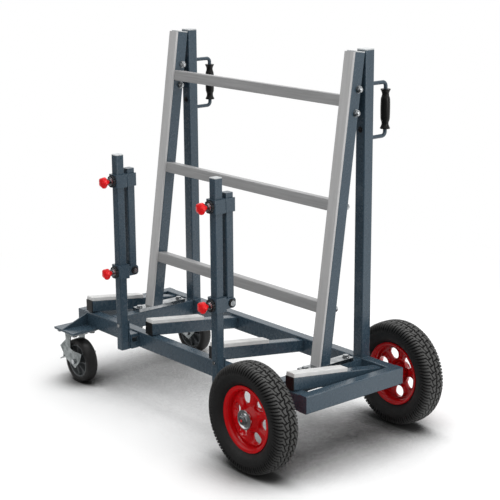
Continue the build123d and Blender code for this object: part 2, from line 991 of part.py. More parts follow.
def caster_top():
    """The fixed plate of the front caster with its race and kingpin."""
    x = -chassis_length + swivel_inset
    place = Pos(x, -swivel_reach, 0)
    plate_low = rail_bottom - caster_plate_thickness
    race_low = plate_low - race_height
    head_top = race_low - 2 * loose_gap - crown_height
    plate = block(
        x - caster_plate_length / 2,
        x + caster_plate_length / 2,
        -swivel_reach - caster_plate_width / 2,
        -swivel_reach + caster_plate_width / 2,
        plate_low,
        rail_bottom,
    )
    for bolt_place in caster_bolt_places():
        plate = plate - bolt_place * bolt_hole(caster_plate_thickness)
    race = rod(race_radius, race_low, plate_low)
    kingpin = rod(kingpin_radius, head_top, race_low)
    kingpin_head = rod(kingpin_head_radius, head_top - kingpin_head_height, head_top)
    return plate + place * (race + kingpin + kingpin_head)


def crown_top():
    """The level of the upper face of a caster fork."""
    return rail_bottom - caster_plate_thickness - race_height - loose_gap


def side_shape(xs_share, zs_share, x_scale, z_scale, thickness):
    """A plate in the XZ plane from lists of shares, with half its thickness on each side."""
    points = [(x_scale * x, z_scale * z) for x, z in zip(xs_share, zs_share)]
    face = Plane.XZ * make_face(Polyline(*points, close=True))
    return extrude(face, thickness / 2, both=True)


def fork_inside():
    """Half the space between the two sides of a caster fork."""
    return caster_hub_length / 2 + fork_gap


def fork():
    """A caster fork about its swivel axis, trailing to +X."""
    y_side = fork_inside() + fork_thickness / 2
    shares = (fork_xs_share, fork_zs_share)
    side = side_shape(*shares, caster_wheel_radius, crown_top(), fork_thickness)
    axle_place = Pos(caster_trail, 0, caster_wheel_radius) * Rot(90, 0, 0)
    boss = axle_place * Cylinder(fork_boss_radius, fork_thickness)
    side = side + boss
    crown = block(
        -crown_length / 2,
        crown_length / 2,
        -y_side - fork_thickness / 2,
        y_side + fork_thickness / 2,
        crown_top() - crown_height,
        crown_top(),
    )
    body = crown + Pos(0, y_side, 0) * side + Pos(0, -y_side, 0) * side
    body = body - rod(kingpin_radius + running_gap, crown_top() - crown_height, crown_top())
    pin = Pos(brake_pivot_x, 0, brake_pivot_z) * Rot(90, 0, 0)
    reach = 2 * (y_side + fork_thickness)
    body = body - axle_place * Cylinder(caster_axle_radius, reach)
    return body + pin * Cylinder(brake_pin_radius, 2 * y_side)


def caster_core():
    """The centre of a caster wheel, turned about Z."""
    half = caster_wheel_width / 2
    barrel = rod(caster_core_radius, -half, half) - rod(
        caster_core_radius - rim_wall, -half, half
    )
    web_half = caster_web_thickness / 2
    web = rod(caster_core_radius - rim_wall / 2, -web_half, web_half)
    hub = rod(caster_hub_radius, -caster_hub_length / 2, caster_hub_length / 2)
    bore = rod(caster_axle_radius + running_gap, -caster_hub_length, caster_hub_length)
    return barrel + web + hub - bore


def caster_tyre():
    """The solid tyre of a caster wheel, turned about Z."""
    half = caster_wheel_width / 2
    body = rod(caster_wheel_radius, -half, half)
    body = fillet(body.edges(), half / 2)
    return body - rod(caster_core_radius, -half, half)


def caster_axle():
    """The bolt and nut of a caster wheel, along Z."""
    half = fork_inside() + fork_thickness
    shank = rod(caster_axle_radius, -half - nut_height, half)
    head = Pos(0, 0, half) * hexagon(bolt_flats, bolt_head_height)
    nut = Pos(0, 0, -half - nut_height) * hexagon(bolt_flats, nut_height) - shank
    return group([head + shank, nut])


def brake():
    """A brake lever about its pin, with a pedal that points to -X."""
    lever = side_shape(
        brake_xs_share, brake_zs_share, caster_wheel_radius, caster_wheel_radius, brake_width
    )
    lever = lever + Rot(90, 0, 0) * Cylinder(brake_hub_radius, brake_width)
    return lever - Rot(90, 0, 0) * Cylinder(brake_pin_radius + loose_gap, brake_width)


def casters():
    """The two swivel casters on their outriggers, and the bolts that hold them."""
    front_plate = outrigger()
    front_top = caster_top()
    parts["outriggers"] = group([front_plate, to_back(front_plate)])
    parts["caster_plates"] = group([front_top, to_back(front_top)])
    bolts = []
    for place in caster_bolt_places():
        bolts += [place * caster_bolt(), to_back(place * caster_bolt())]
    x = -chassis_length + swivel_inset
    ys = (-swivel_reach, chassis_width + swivel_reach)
    wheel_place = Pos(caster_trail, 0, caster_wheel_radius) * Rot(90, 0, 0)
    for name, y, turn in zip(("front", "back"), ys, caster_turns):
        place = Pos(x, y, 0) * Rot(0, 0, turn)
        parts["caster_fork_" + name] = place * fork()
        parts["caster_core_" + name] = place * wheel_place * caster_core()
        parts["caster_tyre_" + name] = place * wheel_place * caster_tyre()
        parts["caster_axle_" + name] = place * wheel_place * caster_axle()
        parts["brake_lever_" + name] = place * Pos(brake_pivot_x, 0, brake_pivot_z) * brake()
    return bolts


chassis()
frame_bolts = leg_pairs()
bars()
support_arms()
handles()
frame_bolts += posts()
clamps()
wheels()
axle()
frame_bolts += casters()
parts["frame_bolts"] = group(frame_bolts)

# The finished cart has its origin on the floor, under the middle of its outline.
bounds = group(parts.values()).bounding_box()
shift = Pos(-bounds.center().X, -bounds.center().Y, -bounds.min.Z)
for name, part in parts.items():
    export_step(shift * part, "parts/" + name + ".step")
print("size", bounds.size, "shift", shift.position)
print(len(parts), "parts")
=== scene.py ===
# %% [markdown]
# # A slab cart, dressed
# The solid model of the cart comes in as a fixed frame: every tube, bolt and wheel is
# already where it belongs. This lesson gives each part its finish, and replaces the parts
# whose plain solids are too simple, such as the tyres, with surfaces worked out by formula.

import json
import math

import bmesh
import bpy
import numpy as np
from mathutils import Matrix, Vector


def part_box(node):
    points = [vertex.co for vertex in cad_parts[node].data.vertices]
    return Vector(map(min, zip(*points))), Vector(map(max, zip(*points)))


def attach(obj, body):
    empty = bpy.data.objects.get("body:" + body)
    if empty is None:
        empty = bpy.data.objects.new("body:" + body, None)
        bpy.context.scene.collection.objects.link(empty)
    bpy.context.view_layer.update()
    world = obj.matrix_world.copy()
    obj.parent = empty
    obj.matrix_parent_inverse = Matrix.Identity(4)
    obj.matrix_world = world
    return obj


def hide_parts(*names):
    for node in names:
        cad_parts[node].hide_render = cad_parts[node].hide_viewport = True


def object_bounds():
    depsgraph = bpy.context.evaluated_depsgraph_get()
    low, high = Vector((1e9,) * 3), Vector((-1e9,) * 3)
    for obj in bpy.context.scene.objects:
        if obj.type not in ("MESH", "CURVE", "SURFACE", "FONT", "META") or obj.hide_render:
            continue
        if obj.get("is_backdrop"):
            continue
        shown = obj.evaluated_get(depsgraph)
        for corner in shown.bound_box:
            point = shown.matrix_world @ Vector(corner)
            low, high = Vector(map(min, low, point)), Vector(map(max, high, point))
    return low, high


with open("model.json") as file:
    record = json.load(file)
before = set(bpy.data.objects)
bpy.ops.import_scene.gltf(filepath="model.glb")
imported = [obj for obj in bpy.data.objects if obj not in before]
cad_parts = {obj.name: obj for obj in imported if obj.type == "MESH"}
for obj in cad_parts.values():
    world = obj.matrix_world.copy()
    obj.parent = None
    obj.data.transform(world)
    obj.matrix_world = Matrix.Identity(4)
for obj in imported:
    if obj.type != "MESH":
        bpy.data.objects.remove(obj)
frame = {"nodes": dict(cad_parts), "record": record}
cad_box = [list(corner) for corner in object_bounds()]

# %% [markdown]
# ## The camera
# The view was worked out from the straight edges of the photograph: where the camera
# stands, which way it looks, how far it is tilted, and the focal length. A camera in
# Blender looks along its own -Z with its own +X to the right, so the three directions
# of the view become the three columns of its rotation.

# %% Place the camera
CAMERA_PLACE = (3.8791, -3.1578, 1.8921)
CAMERA_YAW = math.radians(50.002)
CAMERA_PITCH = math.radians(14.392)
CAMERA_ROLL = math.radians(-0.379)
CAMERA_LENS = 99.84
SENSOR_WIDTH = 36
FAR_CLIP = 60

forward = Vector((
    -math.sin(CAMERA_YAW) * math.cos(CAMERA_PITCH),
    math.cos(CAMERA_YAW) * math.cos(CAMERA_PITCH),
    -math.sin(CAMERA_PITCH),
))
level_right = forward.cross(Vector((0, 0, 1))).normalized()
level_up = level_right.cross(forward)
view_right = level_right * math.cos(CAMERA_ROLL) + level_up * math.sin(CAMERA_ROLL)
view_up = level_up * math.cos(CAMERA_ROLL) - level_right * math.sin(CAMERA_ROLL)
camera_data = bpy.data.cameras.new("view")
camera_data.sensor_width = SENSOR_WIDTH
camera_data.lens = CAMERA_LENS
camera_data.clip_end = FAR_CLIP
camera = bpy.data.objects.new("view", camera_data)
turn = Matrix((view_right, view_up, -forward)).transposed().to_4x4()
camera.matrix_world = Matrix.Translation(CAMERA_PLACE) @ turn
bpy.context.scene.collection.objects.link(camera)
bpy.context.scene.camera = camera
print("camera looks along", [round(v, 3) for v in forward])

# %% [markdown]
# ## Shader nodes
# The sky, the floor and the finishes are small networks of shader nodes. A few tools make a
# node, map one range onto another and mix two shaders. Light Path tells which kind of ray
# asks: the camera sees plain white, and mirrors see white only on the backdrop's side.

# %% Tools for shader nodes
BACKDROP_WAY = (-0.35, 0.94, 0.0)


def node_of(tree, kind, values=None, **properties):
    """A new shader node of a kind, with the values of its inputs and its properties set."""
    made = tree.nodes.new("ShaderNode" + kind)
    for name, value in properties.items():
        setattr(made, name, value)
    for name, value in (values or {}).items():
        made.inputs[name].default_value = value
    return made


def map_range(tree, low, high, to_low, to_high, smooth=True):
    """A node that maps low to high onto to_low to to_high, and stays there outside."""
    course = "SMOOTHSTEP" if smooth else "LINEAR"
    ends = {"From Min": low, "From Max": high, "To Min": to_low, "To Max": to_high}
    return node_of(tree, "MapRange", ends, interpolation_type=course)


def backdrop_share(tree, vector, start, full):
    """How far a vector points to the backdrop: its dot product with that way, smoothed."""
    toward = node_of(tree, "VectorMath", {1: BACKDROP_WAY}, operation="DOT_PRODUCT")
    share = map_range(tree, start, full, 0, 1)
    tree.links.new(vector, toward.inputs[0])
    tree.links.new(toward.outputs["Value"], share.inputs["Value"])
    return share.outputs["Result"]


def extreme(tree, operation, one, other):
    """The larger (MAXIMUM) or the smaller (MINIMUM) of two sockets."""
    made = node_of(tree, "Math", operation=operation)
    tree.links.new(one, made.inputs[0])
    tree.links.new(other, made.inputs[1])
    return made.outputs[0]


def sees_white(tree, share):
    """1 for the camera's rays, the backdrop's share for mirrored or refracted ones, else 0."""
    path = node_of(tree, "LightPath")
    mirrored = extreme(tree, "MAXIMUM", path.outputs["Is Glossy Ray"],
                       path.outputs["Is Transmission Ray"])
    shown = extreme(tree, "MINIMUM", mirrored, share)
    return extreme(tree, "MAXIMUM", path.outputs["Is Camera Ray"], shown)


def mixed(tree, share, first, second):
    """A Mix Shader from the first shader to the second as the share goes from 0 to 1."""
    made = node_of(tree, "MixShader")
    tree.links.new(share, made.inputs["Fac"])
    tree.links.new(first.outputs[0], made.inputs[1])
    tree.links.new(second.outputs[0], made.inputs[2])
    return made


print("the backdrop lies toward", BACKDROP_WAY)

# %% [markdown]
# ## The studio
# The cart stands on white paper in front of a white backdrop. The room in front of it is
# dim, which is what gives plated steel its contrast and painted tubes their bright tops.
# The light comes from a dome that brightens from horizon to zenith, and from three lamps.

# %% Light the studio
BACKDROP_IN_SKY = (0.26, 0.66)
SKY_RISE = (0.05, 0.75)
HORIZON_LIGHT = 0.10
ZENITH_LIGHT = 0.90
LAMPS = {
    "top_light": ((0.0, 0.8, 3.8), (0, 0, 0.3), 2.4, 50),
    "side_light": ((4.4, 0.8, 1.8), (0, 0, 0.5), 2.2, 52),
    "front_light": ((-2.2, -4.4, 2.4), (0, 0, 0.5), 2.0, 8),
}
scene = bpy.context.scene
scene.view_settings.view_transform = "Standard"
world = bpy.data.worlds.new("studio")
scene.world = world
world.use_nodes = True
sky = world.node_tree
sky.nodes.clear()
sky_out = node_of(sky, "OutputWorld")
sky_studio = node_of(sky, "Background", {"Color": (1, 1, 1, 1)})
sky_seen = node_of(sky, "Background", {"Color": (1, 1, 1, 1)})
sky_way = node_of(sky, "TexCoord")
sky_axes = node_of(sky, "SeparateXYZ")
sky_rise = map_range(sky, *SKY_RISE, HORIZON_LIGHT, ZENITH_LIGHT)
sky.links.new(sky_way.outputs["Generated"], sky_axes.inputs[0])
sky.links.new(sky_axes.outputs["Z"], sky_rise.inputs["Value"])
sky.links.new(sky_rise.outputs["Result"], sky_studio.inputs["Strength"])
sky_share = backdrop_share(sky, sky_way.outputs["Generated"], *BACKDROP_IN_SKY)
sky_mix = mixed(sky, sees_white(sky, sky_share), sky_studio, sky_seen)
sky.links.new(sky_mix.outputs[0], sky_out.inputs[0])


def soft_box(name, place, target, size, power):
    """A square area lamp at a place, turned to face a target point."""
    data = bpy.data.lights.new(name, "AREA")
    data.shape = "SQUARE"
    data.size = size
    data.energy = power
    lamp = bpy.data.objects.new(name, data)
    direction = Vector(target) - Vector(place)
    lamp.matrix_world = (
        Matrix.Translation(place) @ direction.to_track_quat("-Z", "Y").to_matrix().to_4x4()
    )
    scene.collection.objects.link(lamp)


for name, (place, target, size, power) in LAMPS.items():
    soft_box(name, place, target, size, power)

# %% [markdown]
# The floor has to be white and still keep the cart's soft shadow. Seen directly, it is a
# diffuse paper plus a little white of its own, and both are darkened by ambient occlusion,
# the share of the sky that the cart hides within a given reach. With distance it fades
# into plain white, so no horizon shows. For the light it is the plain diffuse paper, and
# mirrors see that paper turn dark in front of the cart, where the room is dim.

# %% Lay the floor
FLOOR_HALF = 30.0
PAPER_TONE = 0.72
DIM_FLOOR = 0.10
SHADOW_REACH = 0.55
SHADOW_SAMPLES = 12
OPEN_SKY = (0.42, 0.87)
PAPER_SHADE = (0.05, 0.82)
FLOOR_LIFT = 0.24
FADE = (0.95, 2.6)
BACKDROP_ON_FLOOR = (-0.7, 0.1)
floor_mesh = bpy.data.meshes.new("floor")
floor_mesh.from_pydata(
    [(-FLOOR_HALF, -FLOOR_HALF, 0), (FLOOR_HALF, -FLOOR_HALF, 0),
     (FLOOR_HALF, FLOOR_HALF, 0), (-FLOOR_HALF, FLOOR_HALF, 0)],
    [], [(0, 1, 2, 3)],
)
floor = bpy.data.objects.new("floor", floor_mesh)
scene.collection.objects.link(floor)
floor_finish = bpy.data.materials.new("floor_paper")
floor_finish.use_nodes = True
paper = floor_finish.node_tree
paper.nodes.clear()
paper_out = node_of(paper, "OutputMaterial")
paper_place = node_of(paper, "TexCoord")

paper_plain = node_of(paper, "BsdfDiffuse", {"Color": (*[PAPER_TONE] * 3, 1)})
paper_dim = node_of(paper, "Emission", {"Strength": DIM_FLOOR})
paper_path = node_of(paper, "LightPath")
paper_side = mixed(paper, paper_path.outputs["Is Glossy Ray"], paper_plain, paper_dim)

paper_hidden = node_of(paper, "AmbientOcclusion", {"Distance": SHADOW_REACH},
                       samples=SHADOW_SAMPLES)
paper_shade = map_range(paper, *OPEN_SKY, *PAPER_SHADE)
paper_glow = map_range(paper, *OPEN_SKY, 0.0, FLOOR_LIFT)
paper_shaded = node_of(paper, "BsdfDiffuse")
paper_lift = node_of(paper, "Emission")
paper_seen = node_of(paper, "AddShader")
paper.links.new(paper_hidden.outputs["AO"], paper_shade.inputs["Value"])
paper.links.new(paper_hidden.outputs["AO"], paper_glow.inputs["Value"])
paper.links.new(paper_shade.outputs["Result"], paper_shaded.inputs["Color"])
paper.links.new(paper_glow.outputs["Result"], paper_lift.inputs["Strength"])
paper.links.new(paper_shaded.outputs[0], paper_seen.inputs[0])
paper.links.new(paper_lift.outputs[0], paper_seen.inputs[1])

paper_white = node_of(paper, "Emission")
paper_reach = node_of(paper, "VectorMath", operation="LENGTH")
paper_fade = map_range(paper, *FADE, 0, 1)
paper.links.new(paper_place.outputs["Object"], paper_reach.inputs[0])
paper.links.new(paper_reach.outputs["Value"], paper_fade.inputs["Value"])
paper_far = mixed(paper, paper_fade.outputs["Result"], paper_seen, paper_white)

paper_back = backdrop_share(paper, paper_place.outputs["Object"], *BACKDROP_ON_FLOOR)
paper_mix = mixed(paper, sees_white(paper, paper_back), paper_side, paper_far)
paper.links.new(paper_mix.outputs[0], paper_out.inputs["Surface"])
floor_mesh.materials.append(floor_finish)
floor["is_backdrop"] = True
print("floor nodes", len(paper.nodes))

# %% [markdown]
# ## Finishes
# Each finish starts from the Principled shader. What is the same all over is set on its
# sockets. What varies comes from noise in object coordinates, in metres: a slow noise for
# the tone, a finer one for the gloss, and a very fine one as bump. Most of a noise's values
# lie between 0.3 and 0.7, so that span is what gets mapped.

# %% Build a finish
COAT_ROUGHNESS = 0.15
NOISE_SPAN = (0.3, 0.7)
SLOW_DETAIL, FINE_DETAIL, GRAIN_DETAIL = 5, 3, 2
SLOW_ROUGHNESS = 0.6
FINE_TIMES = 9
BUMP_STRENGTH = 0.6


def noise_at(tree, vector, scale, detail):
    """A noise texture of a scale and a detail, read at a vector."""
    made = node_of(tree, "TexNoise", {"Scale": scale, "Detail": detail})
    tree.links.new(vector, made.inputs["Vector"])
    return made


def finish(name, colour, tone, roughness, gloss_spread, metallic=0.0, coat=0.0,
           grain=900.0, grain_height=0.00003, tone_scale=6.0, specular=0.5,
           stretch=(1, 1, 1)):
    """A material whose colour runs between two tones, with its own gloss and fine grain.

    colour and tone are linear colours; the slow noise mixes them. The roughness runs over
    gloss_spread about its middle value, and the grain is bump in metres of height. A
    stretch below 1 along an axis draws the tones out into streaks along it."""
    made = bpy.data.materials.new(name)
    made.use_nodes = True
    tree = made.node_tree
    shader = tree.nodes["Principled BSDF"]
    even = {"Metallic": metallic, "Coat Weight": coat, "Coat Roughness": COAT_ROUGHNESS,
            "Specular IOR Level": specular}
    for socket, value in even.items():
        shader.inputs[socket].default_value = value
    place = node_of(tree, "TexCoord")
    streak = node_of(tree, "Mapping", {"Scale": stretch})
    tree.links.new(place.outputs["Object"], streak.inputs["Vector"])
    vector = streak.outputs["Vector"]
    slow = noise_at(tree, vector, tone_scale, SLOW_DETAIL)
    slow.inputs["Roughness"].default_value = SLOW_ROUGHNESS
    fine = noise_at(tree, vector, tone_scale * FINE_TIMES, FINE_DETAIL)
    grit = noise_at(tree, vector, grain, GRAIN_DETAIL)
    ramp = node_of(tree, "ValToRGB")
    for stop, position, shade in zip(ramp.color_ramp.elements, NOISE_SPAN, (colour, tone)):
        stop.position = position
        stop.color = (*shade, 1)
    spread = map_range(tree, *NOISE_SPAN, roughness - gloss_spread, roughness + gloss_spread,
                       smooth=False)
    bump = node_of(tree, "Bump", {"Strength": BUMP_STRENGTH, "Distance": grain_height})
    tree.links.new(slow.outputs["Fac"], ramp.inputs["Fac"])
    tree.links.new(ramp.outputs["Color"], shader.inputs["Base Color"])
    tree.links.new(fine.outputs["Fac"], spread.inputs["Value"])
    tree.links.new(spread.outputs["Result"], shader.inputs["Roughness"])
    tree.links.new(grit.outputs["Fac"], bump.inputs["Height"])
    tree.links.new(bump.outputs["Normal"], shader.inputs["Normal"])
    return made


finishes = {
    "frame_paint": finish("slate_powder_coat", (0.041, 0.070, 0.097), (0.047, 0.079, 0.108),
                          0.27, 0.03, grain=1400, grain_height=0.00002, coat=0.15),
    "handle_steel": finish("handle_powder_coat", (0.043, 0.068, 0.093), (0.049, 0.076, 0.102),
                           0.26, 0.03, grain=1400, grain_height=0.00002),
    "bar_grey": finish("brushed_bar_coat", (0.310, 0.310, 0.312), (0.410, 0.410, 0.412),
                       0.38, 0.08, grain=60, grain_height=0.00006, tone_scale=160,
                       stretch=(0.03, 1, 1)),
    "leg_pad_grey": finish("grey_rubber_strip", (0.53, 0.53, 0.53), (0.60, 0.60, 0.60),
                           0.60, 0.06, grain=500, grain_height=0.00006, specular=0.3,
                           tone_scale=90, stretch=(1, 0.2, 0.05)),
    "pad_white": finish("white_rubber_pad", (0.70, 0.70, 0.69), (0.82, 0.82, 0.81),
                        0.60, 0.06, grain=420, grain_height=0.0001, specular=0.3,
                        tone_scale=30),
    "cap_black": finish("black_cap_plastic", (0.006, 0.006, 0.007), (0.011, 0.011, 0.012),
                        0.40, 0.06, grain=800, specular=0.35),
    "cap_grey": finish("grey_cap_plastic", (0.52, 0.54, 0.55), (0.60, 0.62, 0.63),
                       0.40, 0.05, grain=800),
    "grip_black": finish("grip_rubber", (0.006, 0.006, 0.006), (0.010, 0.010, 0.010),
                         0.34, 0.08, grain=900, specular=0.25),
    "knob_red": finish("knob_red_plastic", (0.84, 0.006, 0.010), (0.92, 0.009, 0.013),
                       0.22, 0.05, grain=600, grain_height=0.00002, specular=0.4),
    # The zinc's tone runs from dark to pale patches: partly the spangle of the plating, partly
    # painted reflection of a distant room.
    "zinc": finish("zinc_plating", (0.20, 0.215, 0.225), (0.62, 0.64, 0.65),
                   0.20, 0.08, metallic=1.0, grain=500, grain_height=0.00005,
                   tone_scale=26),
    "hub_zinc": finish("polished_hub_plating", (0.60, 0.61, 0.62), (0.86, 0.87, 0.88),
                       0.10, 0.05, metallic=1.0, grain=500, grain_height=0.00004,
                       tone_scale=30),
    # A darker copy of the zinc for the caster forks and brake levers: its darkness is painted
    # shade, and its patches are partly painted reflection.
    "fork_zinc": finish("dull_zinc_painted_shade", (0.10, 0.115, 0.115), (0.40, 0.43, 0.43),
                        0.26, 0.06, metallic=1.0, grain=500, grain_height=0.00005,
                        tone_scale=40),
    "rim_red": finish("rim_red_enamel", (0.54, 0.002, 0.005), (0.63, 0.003, 0.007),
                      0.14, 0.04, grain=500, grain_height=0.00002, specular=0.4, coat=0.12),
    "tyre_black": finish("tyre_rubber", (0.012, 0.012, 0.012), (0.018, 0.018, 0.018),
                         0.60, 0.08, grain=700, grain_height=0.0001, tone_scale=12,
                         specular=0.4),
    "caster_rubber": finish("caster_rubber", (0.008, 0.008, 0.008), (0.013, 0.013, 0.013),
                            0.50, 0.08, grain=700, grain_height=0.0001, specular=0.4),
    "caster_grey": finish("caster_centre_paint", (0.10, 0.11, 0.115), (0.14, 0.15, 0.155),
                          0.36, 0.06, grain=900, specular=0.4),
}
slot_of = {part["node"]: part["material_slot"] for part in frame["record"]["subparts"]}
for node, cad_object in frame["nodes"].items():
    cad_object.data.materials.clear()
    cad_object.data.materials.append(finishes[slot_of[node]])
# The caster forks and brake levers take the darker zinc, whose darkness is painted shade.
for side in ("front", "back"):
    for part in ("caster_fork_", "brake_lever_"):
        frame["nodes"][part + side].data.materials[0] = finishes["fork_zinc"]
print("finishes", len(finishes))

# %% [markdown]
# Sheet and bar steel never has a knife edge. The nodes of plain solids with the frame paint,
# zinc, cap or pad finishes get two modifiers: Weld joins their corners, and Bevel rounds every
# edge that is sharper than 35 degrees.

# %% Round the edges of the solids
EDGE_ROUND = 0.0007
WELD_REACH = 0.00001
SHARP = math.radians(35)
ROUNDED_SLOTS = {"zinc", "cap_black", "cap_grey", "pad_white", "leg_pad_grey", "frame_paint"}


def round_edges(rounded, width):
    """Add a Bevel modifier that rounds an object's sharp edges over a width in metres."""
    edge = rounded.modifiers.new("edge", "BEVEL")
    edge.width = width
    edge.segments = 2
    edge.limit_method = "ANGLE"
    edge.angle_limit = SHARP
    edge.harden_normals = True


for node, cad_object in frame["nodes"].items():
    if slot_of[node] in ROUNDED_SLOTS:
        weld = cad_object.modifiers.new("weld", "WELD")
        weld.merge_threshold = WELD_REACH
        round_edges(cad_object, EDGE_ROUND)
print("rounded nodes", sum(1 for item in frame["nodes"].values() if item.modifiers))

# %% [markdown]
# ## Turned surfaces
# Most of the detailed parts are surfaces of revolution. A row (r, z) of the profile becomes
# a ring of points (r cos a, r sin a, z), and neighbouring rings are joined by quads. The
# outside of a part lies to the right when its profile is walked from low to high.

# %% Tools for turned surfaces
MM = 0.001
STEPS_PER_KNOT = 24
HEX = 6


def grid_faces(rows, columns, wrap_rows=False):
    """Quads over a grid whose columns close on themselves, and whose rows may too."""
    row = np.arange(rows if wrap_rows else rows - 1)[:, None]
    column = np.arange(columns)[None, :]
    above = (row + 1) % rows
    beside = (column + 1) % columns
    corners = (row * columns + column, row * columns + beside,
               above * columns + beside, above * columns + column)
    return np.stack(np.broadcast_arrays(*corners), axis=-1).reshape(-1, 4)


def lathe(profile, turns=64, start=0.0, wrap=False):
    """Points (r cos a, r sin a, z) and quads of a profile of rows (r, z), in millimetres."""
    radius, level = np.array(profile, float).T
    angle = start + np.linspace(0, 2 * np.pi, turns, endpoint=False)
    flat = radius[:, None, None] * np.stack([np.cos(angle), np.sin(angle)], axis=-1)
    high = np.broadcast_to(level[:, None, None], flat.shape[:2] + (1,))
    points = np.concatenate([flat, high], axis=-1).reshape(-1, 3)
    return points, grid_faces(len(profile), turns, wrap)


def smooth_curve(knots, count):
    """Points along a Catmull-Rom curve through the knots, evenly spaced by arc length."""
    knots = np.array(knots, float)
    ends = np.vstack([2 * knots[0] - knots[1], knots, 2 * knots[-1] - knots[-2]])
    t = np.linspace(0, 1, STEPS_PER_KNOT, endpoint=False)[:, None]
    before, here, after, beyond = (ends[i:len(ends) - 3 + i, None] for i in range(4))
    spans = 0.5 * (2 * here + (after - before) * t
                   + (2 * before - 5 * here + 4 * after - beyond) * t ** 2
                   + (3 * here - before - 3 * after + beyond) * t ** 3)
    dense = np.vstack([spans.reshape(-1, 2), knots[-1]])
    run = np.concatenate([[0], np.cumsum(np.linalg.norm(np.diff(dense, axis=0), axis=1))])
    even = np.linspace(0, run[-1], count)
    return np.stack([np.interp(even, run, dense[:, k]) for k in (0, 1)], axis=-1)


def joined(*surfaces):
    """Several (points, faces) surfaces as one."""
    starts = np.cumsum([0] + [len(points) for points, _ in surfaces[:-1]])
    points = np.vstack([points for points, _ in surfaces])
    faces = np.vstack([faces + start for (_, faces), start in zip(surfaces, starts)])
    return points, faces


print("a lathe of 3 rows and 8 turns has", len(lathe([(1, 0), (2, 1), (1, 2)], 8)[1]), "quads")

# %% [markdown]
# A surface becomes a piece when it is put in its place: place = centre + points @ axes, where
# each row of axes is the way that one of the part's own axes points on the cart. A piece
# rides on the body that carries it, and may take the place of plain solids.

# %% Tools for pieces
def axes_for(side):
    """Rows that turn a part's own X, Y and Z into the cart's: its Z points away from the cart."""
    return np.array([[1, 0, 0], [0, 0, -side], [0, side, 0]], float)


def merge_points(mesh, distance):
    """Join the points of a mesh that lie closer than a distance."""
    made = bmesh.new()
    made.from_mesh(mesh)
    bmesh.ops.remove_doubles(made, verts=made.verts, dist=distance)
    made.to_mesh(mesh)
    made.free()


def piece(name, surface, axes, centre, body, slot, replaced=(), crease=40, merge=0.000002):
    """A mesh of a surface in millimetres, turned by axes, moved to centre, riding on a body.

    Points closer than merge become one, which closes the poles, and an edge between faces
    that meet at more than crease degrees stays sharp."""
    points, faces = surface
    mesh = bpy.data.meshes.new(name)
    mesh.from_pydata((points @ axes * MM + np.array(centre)).tolist(), [], faces.tolist())
    if merge:
        merge_points(mesh, merge)
    mesh.polygons.foreach_set("use_smooth", np.ones(len(mesh.polygons), bool))
    mesh.set_sharp_from_angle(angle=math.radians(crease))
    mesh.materials.append(finishes[slot])
    made = bpy.data.objects.new(name, mesh)
    scene.collection.objects.link(made)
    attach(made, body)
    if replaced:
        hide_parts(*replaced)
    return made


def middle_of(node):
    """The middle of a CAD node's box."""
    low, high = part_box(node)
    return np.array((low + high) / 2)


WHEELS = {"front": -1, "back": 1}
print("wheel centres", {side: middle_of("rim_" + side).round(4) for side in WHEELS})

# %% [markdown]
# ## Rims
# A rim is a barrel with rolled flanges, a conical web with six round holes, and a hub. The
# web is made of six equal sectors. In each, a ring of rays runs from the hole's edge to the
# sector's border, point = hole + t (border - hole), with t from 1 at the border to 0 at the
# edge. The sheet is pressed inwards round each hole, and the last rows run back behind it.

# %% Build the rims
RIM_HOLES = 6
HOLE_RADIUS = 21.0
HOLE_CIRCLE = 71.0
HOLE_TURN = {"front": math.radians(52.0), "back": math.radians(18.5)}
WEB_INNER = 46.0
WEB_OUTER = 94.5
WEB_RADII = [27.3, 34.3, 45.5, 94.5, 101.0]
WEB_LEVELS = [30.6, 28.2, 13.4, 8.2, 5.8]
WEB_SHEET = 5.0
INNER_RING = [WEB_INNER, 45.5, 44.0, 36.0, 34.3, 32.0, 27.3]
OUTER_RING = [WEB_OUTER, 98.0, 101.0]
RIM_MERGE = 0.00002
ARC_STEPS = 16
SIDE_STEPS = 8
HOLE_ROWS = [(1, 0), (0.88, 0.9), (0.72, 1.4), (0.55, 0.8), (0.40, -0.8), (0.25, -3.2),
             (0.12, -5.8), (0.04, -7.8), (0.005, -9.6), (0, -12), (0, -16), (0.02, -16.4),
             (0.05, -14), (0.14, -10), (0.4, -6), (0.7, -WEB_SHEET), (1, -WEB_SHEET)]
BARREL = [(103, -28), (103, 28), (113, 28.2), (116.4, 28.8), (117, 30.2), (116.4, 31.5),
          (114.5, 32), (110.5, 31.7), (106.5, 30.4), (103.2, 27.6), (100.8, 23.6), (99.4, 18),
          (99, 8), (99, -8), (99.4, -18), (100.8, -23.6), (103.2, -27.6), (106.5, -30.4),
          (110.5, -31.7), (114.5, -32), (116.4, -31.5), (117, -30.2), (116.4, -28.8),
          (113, -28.2)]
HUB = [(12.6, -31.8), (26, -31.8), (27.3, -30.6), (27.3, 30.6), (26, 31.8), (12.6, 31.8)]


def sector_border():
    """The border of a sector about angle 0: out along one side, round, in, and back."""
    half = np.pi / RIM_HOLES
    along = np.linspace(-half, half, ARC_STEPS, endpoint=False)
    outward = np.linspace(WEB_INNER, WEB_OUTER, SIDE_STEPS, endpoint=False)
    radius = np.concatenate([np.full(ARC_STEPS, WEB_OUTER),
                             WEB_OUTER + WEB_INNER - outward,
                             np.full(ARC_STEPS, WEB_INNER), outward])
    angle = np.concatenate([along, np.full(SIDE_STEPS, half), -along,
                            np.full(SIDE_STEPS, -half)])
    return radius[:, None] * np.stack([np.cos(angle), np.sin(angle)], axis=-1)


